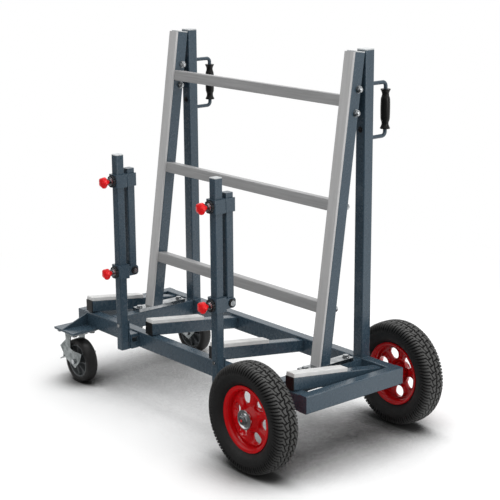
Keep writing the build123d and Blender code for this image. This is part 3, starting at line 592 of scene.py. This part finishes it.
def web_sector(turn):
    """One sixth of the web, about the angle turn, with the hole's edge rounded over."""
    border = sector_border()
    hole = np.array([HOLE_CIRCLE, 0.0])
    away = border - hole
    edge = hole + HOLE_RADIUS * away / np.linalg.norm(away, axis=1, keepdims=True)
    share, drop = np.array(HOLE_ROWS).T[:, :, None, None]
    flat = edge + share * (border - edge)
    level = np.interp(np.hypot(flat[..., 0], flat[..., 1]), WEB_RADII, WEB_LEVELS)
    swing = np.array([[np.cos(turn), np.sin(turn)], [-np.sin(turn), np.cos(turn)]])
    points = np.dstack([flat @ swing, level + drop[..., 0]])
    return points.reshape(-1, 3), grid_faces(len(HOLE_ROWS), len(border))


def web_ring(radii, turn):
    """A ring of the web, front and back, that meets the sectors at the first of its radii."""
    front = [(radius, np.interp(radius, WEB_RADII, WEB_LEVELS)) for radius in radii]
    back = [(radius, level - WEB_SHEET) for radius, level in front]
    rows = front + back[::-1] if radii[0] > radii[-1] else back + front[::-1]
    return lathe(rows, ARC_STEPS * RIM_HOLES, turn - np.pi / RIM_HOLES)


for side, sign in WHEELS.items():
    turn = HOLE_TURN[side]
    sectors = [web_sector(turn + k * 2 * np.pi / RIM_HOLES) for k in range(RIM_HOLES)]
    web = joined(*sectors, web_ring(INNER_RING, turn), web_ring(OUTER_RING, turn))
    rim = joined(web, lathe(BARREL, 128, wrap=True), lathe(HUB, 64, wrap=True))
    made = piece("rim_shell_" + side, rim, axes_for(sign), middle_of("rim_" + side),
                 "wheel_" + side, "rim_red", ["rim_" + side], crease=50, merge=RIM_MERGE)
    print(made.name, len(made.data.polygons), "faces")

# %% [markdown]
# ## Treads
# The tread is a depth over (turn, s), where turn counts the pitches round the tyre and s is
# the distance from the crown along the section, in millimetres. Each groove is a band round
# a centre line, depth = clip((w + e - d) / e, 0, 1), where d is the distance from the line,
# w half the groove's width and e the width of its wall. The cross grooves slant, bow and
# sweep, so their phase is q = turn - slant s + bow(s) - sweep(s), and one half of the tyre
# is shifted by half a pitch. A wavy fence parts the leaf-shaped blocks at the centre from
# the ribs of the shoulders, whose inner ends lie between the leaves.

# %% Cut the tread
PITCH = 25.2
WALL = 1.1
CENTRE_HALF, FENCE_HALF, LEAF_HALF, RIB_HALF, SPLIT_HALF = 2.0, 1.5, 1.2, 1.8, 1.0
CENTRE_SWING = 2.6
SLANT = 0.024
SLANT_END = 30.0
BOW = 0.34
BOW_START, BOW_REACH = 2.0, 26.0
SWEEP = 0.30
SWEEP_START, SWEEP_REACH = 28.0, 38.0
FENCE_MIDDLE = 18.0
FENCE_SWING = 7.0
FENCE_LEAN = 0.72
SPLIT_START = FENCE_MIDDLE + 13.0
SHOULDER_END = 72.0
SHOULDER_FADE = 10.0


def groove(distance, half_width):
    """1 in a groove and 0 beside it: clip((w + e - d) / e, 0, 1)."""
    return np.clip((half_width + WALL - distance) / WALL, 0, 1)


def from_whole(phase):
    """How far a phase is from the nearest whole number."""
    return np.abs(phase - np.round(phase))


def tread(turn, s):
    """How deep the tread is cut, from 0 to 1, at a turn in pitches and a distance s."""
    out = np.abs(s)
    bow = BOW * np.sign(s) * np.sin(np.pi * np.clip((out - BOW_START) / BOW_REACH, 0, 1))
    sweep = SWEEP * np.sign(s) * np.clip((out - SWEEP_START) / SWEEP_REACH, 0, 1) ** 2
    q = turn - SLANT * np.clip(s, -SLANT_END, SLANT_END) + bow - sweep + 0.5 * (s < 0)
    leaf = from_whole(q)
    fence_line = FENCE_MIDDLE + FENCE_SWING * (1 - 4 * leaf) * (0.75 + 0.5 * leaf)
    centre = groove(np.abs(s - CENTRE_SWING * np.cos(2 * np.pi * turn)), CENTRE_HALF)
    fence = groove(np.abs(out - fence_line) * FENCE_LEAN, FENCE_HALF)
    between = groove((0.5 - leaf) * PITCH, LEAF_HALF) * (out < fence_line) * (out > 1)
    behind = groove(leaf * PITCH, RIB_HALF) * (out > fence_line)
    split = groove((0.5 - leaf) * PITCH, SPLIT_HALF) * (out > SPLIT_START)
    fade = np.clip((SHOULDER_END - out) / SHOULDER_FADE, 0, 1)
    return np.maximum.reduce([centre, fence, between, np.maximum(behind, split) * fade])


sample = tread(np.linspace(0, 1, 50)[None, :], np.linspace(-30, 30, 61)[:, None])
print("share of the crown that is cut away", round(float(sample.mean()), 2))

# %% [markdown]
# ## Tyres
# The tyre's section is a smooth curve through its named points, mirrored at the crown. The
# tread cuts into it along the section's normal, and so do two shallow ridges of the side
# wall. Two point attributes tint the rubber: the worn tops are paler, and the grooves are
# darkened with painted shade.

# %% Build the tyres
PITCHES = 48
STEPS_PER_PITCH = 20
GROOVE_DEPTH = 5.0
WORN_END, WORN_FADE = 58.0, 34.0
RIDGES = [(84.0, 2.2, 0.5), (104.0, 2.0, 0.4)]
TREAD_ROWS = 79
SIDE_ROWS = 11
SECTION_STEPS = 400
TREAD_TOP = (0.070, 0.070, 0.068)
# The painted shade of the groove floors, a colour close to black.
GROOVE_PAINTED_SHADE = (0.0012, 0.0012, 0.0012)
TYRE_SECTION = [(116.5, 27.6), (120.0, 30.4), (129.9, 42.1), (149.5, 49.0), (172.8, 47.0),
                (185.3, 40.2), (190.7, 28.4), (192.2, 14.7), (192.5, 0.0)]


def tyre_surface():
    """Points and faces of the whole tyre, and how worn and how deep each point is.

    The side wall has shallow ridges: depth exp(-((|s| - at) / width)^2) each."""
    half = smooth_curve(TYRE_SECTION, SECTION_STEPS)
    whole = np.vstack([half * (1, -1), half[-2::-1]])
    run = np.concatenate([[0], np.cumsum(np.linalg.norm(np.diff(whole, axis=0), axis=1))])
    run -= run[-1] / 2
    side = np.linspace(-run[-1], -SHOULDER_END, SIDE_ROWS, endpoint=False)
    middle = np.linspace(-SHOULDER_END, SHOULDER_END, TREAD_ROWS)
    s = np.concatenate([side, middle, -side[::-1]])
    radius = np.interp(s, run, whole[:, 0])
    across = np.interp(s, run, whole[:, 1])
    normal = np.stack([np.gradient(across, s), -np.gradient(radius, s)], axis=-1)
    normal /= np.linalg.norm(normal, axis=1, keepdims=True)
    columns = PITCHES * STEPS_PER_PITCH
    turn = np.arange(columns) / STEPS_PER_PITCH
    cut = tread(turn[None, :], s[:, None])
    ridge = sum(depth * np.exp(-((np.abs(s) - at) / width) ** 2) for at, width, depth in RIDGES)
    inward = GROOVE_DEPTH * cut + ridge[:, None]
    r = radius[:, None] - inward * normal[:, :1]
    z = across[:, None] - inward * normal[:, 1:]
    angle = turn[None, :] * 2 * np.pi / PITCHES
    points = np.dstack([r * np.cos(angle), r * np.sin(angle), z]).reshape(-1, 3)
    worn = np.clip((WORN_END - np.abs(s)) / WORN_FADE, 0, 1)[:, None] * (1 - cut)
    return (points, grid_faces(len(s), columns, True)), worn.ravel(), cut.ravel()


def tint_by_attribute(material, attribute, colour):
    """Mix a colour into a finish's own, as much as a point attribute of the mesh says."""
    tree = material.node_tree
    shader = tree.nodes["Principled BSDF"]
    plain = shader.inputs["Base Color"].links[0].from_socket
    share = node_of(tree, "Attribute", attribute_name=attribute)
    blend = node_of(tree, "Mix", data_type="RGBA")
    tree.links.new(share.outputs["Fac"], blend.inputs["Factor"])
    tree.links.new(plain, blend.inputs["A"])
    blend.inputs["B"].default_value = (*colour, 1)
    tree.links.new(blend.outputs["Result"], shader.inputs["Base Color"])


tint_by_attribute(finishes["tyre_black"], "tread_top", TREAD_TOP)
# The grooves get a painted shade: where the tread is cut, the rubber is tinted nearly black.
tint_by_attribute(finishes["tyre_black"], "groove_painted_shade", GROOVE_PAINTED_SHADE)
tyre, tread_top, groove_painted_shade = tyre_surface()
for side, sign in WHEELS.items():
    made = piece("tyre_tread_" + side, tyre, axes_for(sign), middle_of("rim_" + side),
                 "wheel_" + side, "tyre_black", ["tyre_" + side], crease=38, merge=0)
    # The second attribute holds the painted shade of the grooves.
    for attribute, values in (("tread_top", tread_top), ("groove_painted_shade", groove_painted_shade)):
        made.data.attributes.new(attribute, "FLOAT", "POINT").data.foreach_set("value", values)
    print(made.name, len(made.data.polygons), "faces")

# %% [markdown]
# ## Hub washers and nuts
# A dished washer with a rolled lip covers each hub, and a chamfered nut holds it. The nut
# is a lathe of six sides, whose corners the chamfer rows cut back, and the axle's tip
# carries a small red cap.

# %% Build the hub washers and nuts
HUB_FACE = 32.5
DISH = [(10.2, 0), (33, 0), (34.6, 0.6), (35, 2.4), (34.4, 4.6), (32.6, 5.6), (30.4, 5.2),
        (28.6, 2.8), (26.0, 1.3), (22.6, 2.4), (20.0, 4.4), (18.0, 4.9), (10.2, 4.9)]
AXLE_NUT_ROWS = [(10.2, 3.5), (15.4, 3.5), (17.3, 4.6), (17.3, 13.9), (15.2, 15.4),
                 (9.4, 15.6), (7.0, 15.0), (7.0, 3.5)]
AXLE_TIP = [(0, 9.0), (6.8, 9.0), (6.8, 14.6), (6.2, 15.8), (4.2, 16.6), (0, 16.8)]
dish = lathe(DISH, 72, wrap=True)
nut = lathe(AXLE_NUT_ROWS, HEX, wrap=True)
tip = lathe(AXLE_TIP, 32)
for side, sign in WHEELS.items():
    centre = middle_of("rim_" + side) + np.array([0, sign * HUB_FACE * MM, 0])
    replaced = ["axle_nuts"] if side == "front" else []
    washer = piece("hub_washer_" + side, dish, axes_for(sign), centre, "cart", "zinc", replaced)
    washer.data.materials[0] = finishes["hub_zinc"]
    piece("axle_tip_" + side, tip, axes_for(sign), centre, "cart", "knob_red")
    piece("hub_nut_" + side, nut, axes_for(sign), centre, "cart", "zinc", crease=20)
print("hub face", HUB_FACE)

# %% [markdown]
# ## Sleeves, knobs and their studs
# Each sleeve has a thick toothed boss that carries the thread. The real boss is lower than
# the plain solid's, so a copy of the sleeve is merged, and the points in front of the collar
# are pressed back: y = front + share (y - front).

# %% Press the bosses of the sleeves back
ENDS = ("wheel_end", "caster_end")
PLAIN_BOSS = 16.0
BOSS_SHARE = 0.6
BOSS_HEIGHT = PLAIN_BOSS * BOSS_SHARE
COLLAR_REACH = 8.0
SLEEVE_ROUND = 0.001


def front_of(row, end):
    """The middle of the collar's front face on a post, where the knob's stud comes out."""
    post_low, post_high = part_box("post_" + end)
    level = middle_of(f"{row}_sleeve_{end}")[2]
    return np.array([(post_low.x + post_high.x) / 2, post_low.y - COLLAR_REACH * MM, level])


def points_of(mesh):
    """The points of a mesh as an array of rows."""
    flat = np.empty(len(mesh.vertices) * 3)
    mesh.vertices.foreach_get("co", flat)
    return flat.reshape(-1, 3)


for end in ENDS:
    for row in ("upper", "lower"):
        node = f"{row}_sleeve_{end}"
        mesh = frame["nodes"][node].data.copy()
        points = points_of(mesh)
        front = front_of(row, end)[1]
        ahead = points[:, 1] < front
        points[ahead, 1] = front + BOSS_SHARE * (points[ahead, 1] - front)
        mesh.vertices.foreach_set("co", points.ravel())
        made = bpy.data.objects.new(node + "_pressed", mesh)
        scene.collection.objects.link(made)
        merge_points(mesh, WELD_REACH)
        round_edges(made, SLEEVE_ROUND)
        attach(made, node)
        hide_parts(node)
print("boss height", BOSS_HEIGHT)

# %% [markdown]
# A clamp knob has five shallow lobes. Its radius at the angle a is
# r = core + share lobe (0.5 + 0.5 cos 5a), and each row says how wide it is and how much of
# the lobes it has: none at the round neck, all at the head. The stud has a real thread, and
# a toothed lock washer sits on the boss.

# %% Build the clamp knobs
KNOB_LOBES, KNOB_LOBE, LOBE_STEPS = 5, 3.2, 24
KNOB_REACH = 54.0
KNOB_ROWS = [(0, 0, 0), (0, 7, 0), (2, 7.2, 0), (4, 8.4, 0), (8, 11.8, 0.2), (12, 15.2, 0.6),
             (15.5, 17.6, 0.9), (18, 18.5, 1), (21, 18.7, 1), (26, 18.3, 1), (29, 17, 1),
             (31.5, 14.6, 0.8), (33.2, 11.2, 0.5), (34.4, 6.8, 0.2), (34.9, 0, 0)]
NECK_LEVEL = KNOB_REACH - KNOB_ROWS[-1][0]
STUD_RADIUS = 5.0
STUD_START = -7.5
THREAD_PITCH = 2.0
BOSS_ROWS = [(5.6, -0.2, 0), (22.4, -0.2, 1), (22.4, BOSS_HEIGHT - 1, 1),
             (21.2, BOSS_HEIGHT + 0.3, 1), (18.4, BOSS_HEIGHT + 0.3, 0),
             (17.6, BOSS_HEIGHT + 0.15, 0), (5.6, BOSS_HEIGHT + 0.15, 0)]
BOSS_TEETH, BOSS_TOOTH, BOSS_STEPS = 12, 2.8, 12
WASHER_TEETH, WASHER_TOOTH, WASHER_STEPS = 16, 1.8, 8
WASHER_ROWS = [(5.4, 0.1, 0), (15.5, 0.1, 1), (16, 0.6, 1), (15.5, 2.0, 1), (11.5, 2.4, 0),
               (10.5, 4.6, 0), (5.4, 4.6, 0)]


def lobed_surface(rows, lobes, depth, steps, shape=1.0, wrap=True):
    """Rows (r, z, share): the radius r is less by share depth wave, wave = (0.5 + 0.5 cos)^p."""
    radius, level, share = np.array(rows, float).T[:, :, None]
    angle = np.linspace(0, 2 * np.pi, steps, endpoint=False)[None, :]
    wave = (0.5 + 0.5 * np.cos(lobes * angle)) ** shape
    radius = radius - share * depth * wave
    high = np.broadcast_to(level, radius.shape)
    points = np.dstack([radius * np.cos(angle), radius * np.sin(angle), high])
    return points.reshape(-1, 3), grid_faces(len(rows), steps, wrap)


def thread_surface(low, high):
    """A stud with rings of thread: the radius dips by a third of the pitch between crests."""
    count = int((high - low) / THREAD_PITCH) * 2 + 1
    level = np.linspace(low, high, count)
    radius = STUD_RADIUS - THREAD_PITCH / 3 * (np.arange(count) % 2)
    return lathe([(0, low), *zip(radius, level), (0, high)], 32)


knob = lobed_surface([(core, level + NECK_LEVEL, -share) for level, core, share in KNOB_ROWS],
                     KNOB_LOBES, KNOB_LOBE, KNOB_LOBES * LOBE_STEPS, wrap=False)
boss = lobed_surface(BOSS_ROWS, BOSS_TEETH, BOSS_TOOTH, BOSS_TEETH * BOSS_STEPS, shape=4.0)
washer_rows = [(radius, level + BOSS_HEIGHT, share) for radius, level, share in WASHER_ROWS]
washer = lobed_surface(washer_rows, WASHER_TEETH, WASHER_TOOTH, WASHER_TEETH * WASHER_STEPS,
                       shape=3.0)
stud = thread_surface(STUD_START, NECK_LEVEL + 1)
for end in ENDS:
    for row in ("upper", "lower"):
        front = front_of(row, end)
        name, sleeve = f"{row}_knob_{end}", f"{row}_sleeve_{end}"
        piece(name + "_head", knob, axes_for(-1), front, name, "knob_red", [name], crease=60)
        piece(name + "_stud", stud, axes_for(-1), front, name, "zinc", crease=80)
        piece(f"{row}_boss_{end}", boss, axes_for(-1), front, sleeve, "cap_black", crease=30)
        piece(f"{row}_washer_{end}", washer, axes_for(-1), front, sleeve, "zinc", crease=30)
print("knobs", len(ENDS) * 2)

# %% [markdown]
# ## Grips
# A grip is turned from a smooth curve through its waists and its long swelling, and its bore
# leaves the handle's rod a little room to turn in.

# %% Build the grips
GRIP_HALF = 70.0
GRIP_BORE = 7.1
GRIP_ROWS = 90
GRIP_KNOTS = [(17.4, -GRIP_HALF), (17.8, -67.5), (14.6, -61), (12.6, -54), (13.2, -46),
              (16.2, -36), (17.0, -18), (17.2, 0), (17.0, 18), (16.2, 36), (13.2, 46),
              (12.6, 54), (14.6, 61), (17.8, 67.5), (17.4, GRIP_HALF)]
grip_curve = smooth_curve(GRIP_KNOTS, GRIP_ROWS)
grip_profile = [(GRIP_BORE, -GRIP_HALF), *map(tuple, grip_curve), (GRIP_BORE, GRIP_HALF)]
for end in ENDS:
    piece("grip_rubber_" + end, lathe(grip_profile, 56, wrap=True), np.eye(3),
          middle_of("grip_" + end), "grip_" + end, "grip_black", ["grip_" + end], crease=50)
print("grip rows", len(grip_profile))

# %% [markdown]
# ## Bolts and nuts
# The bolts of the frame are separate solids in one node. Points that share an edge belong to
# one solid: every point starts with its own number, and takes the lowest number among its
# neighbours until nothing changes. Each group's box then says where its bolt is.

# %% Find the bolts
def solids_of(node):
    """The boxes (low, high) of the separate solids of a CAD node, in metres."""
    mesh = frame["nodes"][node].data
    points = points_of(mesh)
    _, same = np.unique(points.round(6), axis=0, return_inverse=True)
    same = same.ravel()
    ends = np.empty(len(mesh.edges) * 2, int)
    mesh.edges.foreach_get("vertices", ends)
    one, other = same[ends.reshape(-1, 2)].T
    group = np.arange(same.max() + 1)
    changed = True
    while changed:
        lowest = np.minimum(group[one], group[other])
        spread = group.copy()
        np.minimum.at(spread, one, lowest)
        np.minimum.at(spread, other, lowest)
        changed = not np.array_equal(spread, group)
        group = spread
    label = group[same]
    return [(points[label == k].min(axis=0), points[label == k].max(axis=0))
            for k in np.unique(label)]


bolts = solids_of("frame_bolts")
print("solids of the bolts", len(bolts))

# %% [markdown]
# The head bolts of the A shapes end in bright cap nuts on broad washers. A cap nut is two
# turned parts: a lathe of six sides for the hexagon, and a round one for the dome. Only the
# head bolts are that long along X, and only the foot bolts, which get a flat washer under
# the head, are that long along Z.

# %% Build the cap nuts and washers
ALONG_X = np.array([[0, 1, 0], [0, 0, 1], [1, 0, 0]], float)
BOLT_HEAD = 7.5
HEAD_BOLT_OVER = 60
FOOT_BOLT_OVER = 90
WASHER = [(5, 0), (13, 0), (13.6, 0.6), (13.2, 2.2), (5, 2.2)]
CAP_HEX = [(5, 2.2), (11.6, 2.2), (12.4, 3.1), (12.4, 9.0), (11.2, 10.2), (5, 10.4)]
CAP_DOME = [(9.4, 9.4), (9.3, 11.6), (8.2, 14.0), (6.0, 15.8), (3.0, 16.8), (0, 17.0), (0, 9.4)]
FLAT_WASHER = [(6.5, 0), (13.4, 0), (13.9, 0.5), (13.5, 1.9), (6.5, 1.9)]
cap_nut = joined(lathe(CAP_HEX, HEX, wrap=True), lathe(CAP_DOME, 40, wrap=True),
                 lathe(WASHER, 48, wrap=True))
flat_washer = lathe(FLAT_WASHER, 48, wrap=True)
count = 0
for low, high in bolts:
    size_mm = (high - low) / MM
    middle = (low + high) / 2
    if size_mm[0] > HEAD_BOLT_OVER:
        seat = np.array([high[0] - BOLT_HEAD * MM, middle[1], middle[2]])
        piece(f"cap_nut_{count}", cap_nut, ALONG_X, seat, "cart", "zinc", crease=25)
        count += 1
    if size_mm[2] > FOOT_BOLT_OVER:
        seat = np.array([middle[0], middle[1], high[2] - BOLT_HEAD * MM])
        piece(f"foot_washer_{count}", flat_washer, np.eye(3), seat, "cart", "zinc", crease=30)
        count += 1
print("cap nuts and washers", count)

# %% [markdown]
# Each back leg has a dark bolt on its front face, a little above the handle's lower end, and
# the pivot bolts of the swing arms have a dark collar.

# %% Build the dark bolts and collars
DARK_HEAD = [(3, 0), (7.4, 0), (8.0, 0.7), (8.0, 5.2), (7.0, 6.2), (3, 6.4)]
DARK_TIP = [(0, 4), (4.2, 4), (4.0, 7.6), (0, 8.2)]
DARK_WASHER = [(4, 0), (10.4, 0), (10.8, 0.6), (10.4, 1.6), (4, 1.6)]
COLLAR = [(8, 0), (13.6, 0), (14.4, 0.8), (14.4, 3.4), (13.4, 4.2), (11.2, 4.2), (10.4, 3.0),
          (8, 3.0)]
dark_bolt = joined(lathe(DARK_HEAD, HEX, wrap=True), lathe(DARK_TIP, 24),
                   lathe(DARK_WASHER, 40, wrap=True))
collar = lathe(COLLAR, 48, wrap=True)
ROD_RADIUS = 7.0
LEG_BOLT_RISE = 41.0
for end in ENDS:
    leg_low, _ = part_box("back_leg_" + end)
    rod_low, rod_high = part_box("handle_rod_" + end)
    rod_x = (rod_low.x + rod_high.x) / 2
    bolt_seat = (rod_x, leg_low.y, rod_low.z + LEG_BOLT_RISE * MM)
    piece("leg_bolt_" + end, dark_bolt, axes_for(-1), bolt_seat, "cart", "cap_black", crease=25)
    _, pivot_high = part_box("pivot_bolt_" + end)
    pivot_seat = middle_of("pivot_bolt_" + end)
    pivot_seat[0] = pivot_high.x - BOLT_HEAD * MM
    piece("pivot_collar_" + end, collar, ALONG_X, pivot_seat, "lower_sleeve_" + end,
          "cap_black", crease=30)
print("handle rods at x", rod_x)

# %% [markdown]
# ## Plugs and welds
# The posts are closed with pale plugs. A plug is a stack of rounded squares: the point at the
# angle a of a square ring is h (sign(c) |c|^(1/4), sign(s) |s|^(1/4)), with c = cos a and
# s = sin a. A weld bead is a thin tube along such a ring, with ripples 3 mm apart. The beads
# at a handle's rod are round: the power is 1 there.

# %% Build the plugs and weld beads
BEAD = 2.0
BEAD_SWELL = 0.16
BEAD_SIDES = 8
ROD_BEAD = 1.6
ROD_BEAD_OUT = 0.6
RING_STEPS = 400


def square_ring(half_x, half_y, count=96, power=0.25):
    """Points (x, y) round a rounded rectangle, evenly spaced along it."""
    angle = np.linspace(0, 2 * np.pi, RING_STEPS)
    cos, sin = np.cos(angle), np.sin(angle)
    ring = np.stack([half_x * np.sign(cos) * np.abs(cos) ** power,
                     half_y * np.sign(sin) * np.abs(sin) ** power], axis=-1)
    run = np.concatenate([[0], np.cumsum(np.linalg.norm(np.diff(ring, axis=0), axis=1))])
    even = np.linspace(0, run[-1], count, endpoint=False)
    return np.stack([np.interp(even, run, ring[:, k]) for k in (0, 1)], axis=-1)


def plug_surface(half, rows):
    """A square plug: rows (share, z) scale one ring; a share of 0 closes it at the middle."""
    ring = square_ring(half, half)
    share, level = np.array(rows, float).T[:, :, None]
    points = np.dstack([share * ring[:, 0], share * ring[:, 1],
                        np.broadcast_to(level, (len(rows), len(ring)))])
    return points.reshape(-1, 3), grid_faces(len(rows), len(ring))


def bead_surface(half_x, half_y, radius, power=0.25, ripple=3.0):
    """A tube round a ring: at the run s its radius is r (1 + swell cos(2 pi s / ripple))."""
    count = int(4 * (half_x + half_y))
    ring = square_ring(half_x, half_y, count, power)
    way = np.roll(ring, -1, axis=0) - np.roll(ring, 1, axis=0)
    way /= np.linalg.norm(way, axis=1, keepdims=True)
    outward = np.stack([way[:, 1], -way[:, 0]], axis=-1)
    waves = round(count / ripple)
    size = radius * (1 + BEAD_SWELL * np.cos(2 * np.pi * waves * np.arange(count) / count))
    angle = np.linspace(0, 2 * np.pi, BEAD_SIDES, endpoint=False)[:, None]
    flat = ring[None] + (size * np.cos(angle))[..., None] * outward[None]
    points = np.dstack([flat, size * np.sin(angle)])
    return points.reshape(-1, 3), grid_faces(BEAD_SIDES, count, True)


def foot_of(node):
    """The box of the points of a node that lie within 1 mm of its lowest level."""
    points = points_of(frame["nodes"][node].data)
    lowest = points[points[:, 2] < points[:, 2].min() + MM]
    return lowest.min(axis=0), lowest.max(axis=0)


PLUG_ROWS = [(0, -3), (0.86, -3), (1.0, 0), (1.02, 0.4), (1.02, 2.2), (0.97, 3.2), (0.5, 3.4),
             (0, 3.4)]
for end in ENDS:
    post_low, post_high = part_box("post_" + end)
    half = (post_high.x - post_low.x) / 2 / MM
    top = middle_of("post_" + end)
    top[2] = post_high.z
    piece("post_plug_" + end, plug_surface(half, PLUG_ROWS), np.eye(3), top, "cart", "cap_grey")
    for leg in ("front_leg_", "back_leg_"):
        low, high = foot_of(leg + end)
        halves = (high - low) / 2 / MM
        centre = (low + high) / 2
        bead = bead_surface(halves[0], halves[1], BEAD)
        piece("weld_" + leg + end, bead, np.eye(3), centre, "cart", "frame_paint", crease=180)
    _, leg_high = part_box("back_leg_" + end)
    rod_low, rod_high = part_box("handle_rod_" + end)
    ring_half = ROD_RADIUS + ROD_BEAD_OUT
    for name, level in (("lower", rod_low.z + ROD_RADIUS * MM),
                        ("upper", rod_high.z - ROD_RADIUS * MM)):
        ring = bead_surface(ring_half, ring_half, ROD_BEAD, power=1.0)
        piece(f"weld_rod_{name}_{end}", ring, axes_for(1),
              ((rod_low.x + rod_high.x) / 2, leg_high.y, level), "cart", "handle_steel",
              crease=180)
print("plugs", len(ENDS))

# %% [markdown]
# ## Caster wheels
# A caster wheel has a solid rubber tyre with a fine ridge on each side, on a cast core with a
# rim, a thin web, a hub and eight ribs on each side. A rib is a thin slab whose outer edge
# slopes from the hub to the rim.

# %% Build the caster wheels
CASTER_TURNS = {"front": math.radians(-1.5), "back": math.radians(2.0)}
CASTER_TYRE = [(66.1, -19.5), (68, -22.6), (71.5, -23.1), (73, -24), (74.5, -23.2),
               (79, -23.4), (84.2, -22), (87.2, -17.6), (88.6, -10), (89, 0), (88.6, 10),
               (87.2, 17.6), (84.2, 22), (79, 23.4), (74.5, 23.2), (73, 24), (71.5, 23.1),
               (68, 22.6), (66.1, 19.5)]
CORE_RIM = [(66, -19), (66, 19), (65, 20.4), (62.5, 20.4), (61, 19), (59.5, 7), (59.5, -7),
            (61, -19), (62.5, -20.4), (65, -20.4)]
CORE_WEB = [(6.4, -27.8), (18.5, -27.8), (20, -26.4), (20.5, -6), (23, -4), (59, -4), (61, -6),
            (61, 6), (59, 4), (23, 4), (20.5, 6), (20, 26.4), (18.5, 27.8), (6.4, 27.8)]
RIBS = 8
RIB_HALF_WIDTH = 2.2
RIB_CORNERS = [(19.5, 3.5), (60.5, 3.5), (60.5, 14.0), (19.5, 21.0)]


def rib_slab(turn, side):
    """A rib at an angle on one side: four corners (r, z), doubled across its thickness."""
    radius, level = np.array(RIB_CORNERS).T
    across = np.array([[-RIB_HALF_WIDTH], [RIB_HALF_WIDTH]])
    along, high, across = np.broadcast_arrays(radius, level * side, across)
    points = np.dstack([along * np.cos(turn) - across * np.sin(turn),
                        along * np.sin(turn) + across * np.cos(turn), high])
    faces = np.array([(0, 1, 2, 3), (7, 6, 5, 4), (0, 4, 5, 1), (1, 5, 6, 2), (2, 6, 7, 3),
                      (3, 7, 4, 0)])
    return points.reshape(-1, 3), faces[:, ::side]


slabs = [rib_slab(k * 2 * np.pi / RIBS, side) for k in range(RIBS) for side in (1, -1)]
core = joined(lathe(CORE_RIM, 96, wrap=True), lathe(CORE_WEB, 64, wrap=True), *slabs)
for side, sign in WHEELS.items():
    spin = CASTER_TURNS[side]
    swing = np.array([[math.cos(spin), math.sin(spin), 0], [-math.sin(spin), math.cos(spin), 0],
                      [0, 0, 1]])
    axes = axes_for(sign) @ swing
    centre = middle_of("caster_tyre_" + side)
    body = "caster_wheel_" + side
    piece("caster_rubber_" + side, lathe(CASTER_TYRE, 112, wrap=True), axes, centre, body,
          "caster_rubber", ["caster_tyre_" + side], crease=60)
    piece("caster_casting_" + side, core, axes, centre, body, "caster_grey",
          ["caster_core_" + side], crease=35)
print("caster ribs", RIBS * 2)

# %% [markdown]
# ## The sizes
# The box of the plain solids was read before anything was added. The box of the dressed cart
# is read now, and both are printed in metres, so that the two can be compared.

# %% Print the sizes and finish
size = {"cad": cad_box, "visual": [list(corner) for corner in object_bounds()]}
print("size", size)
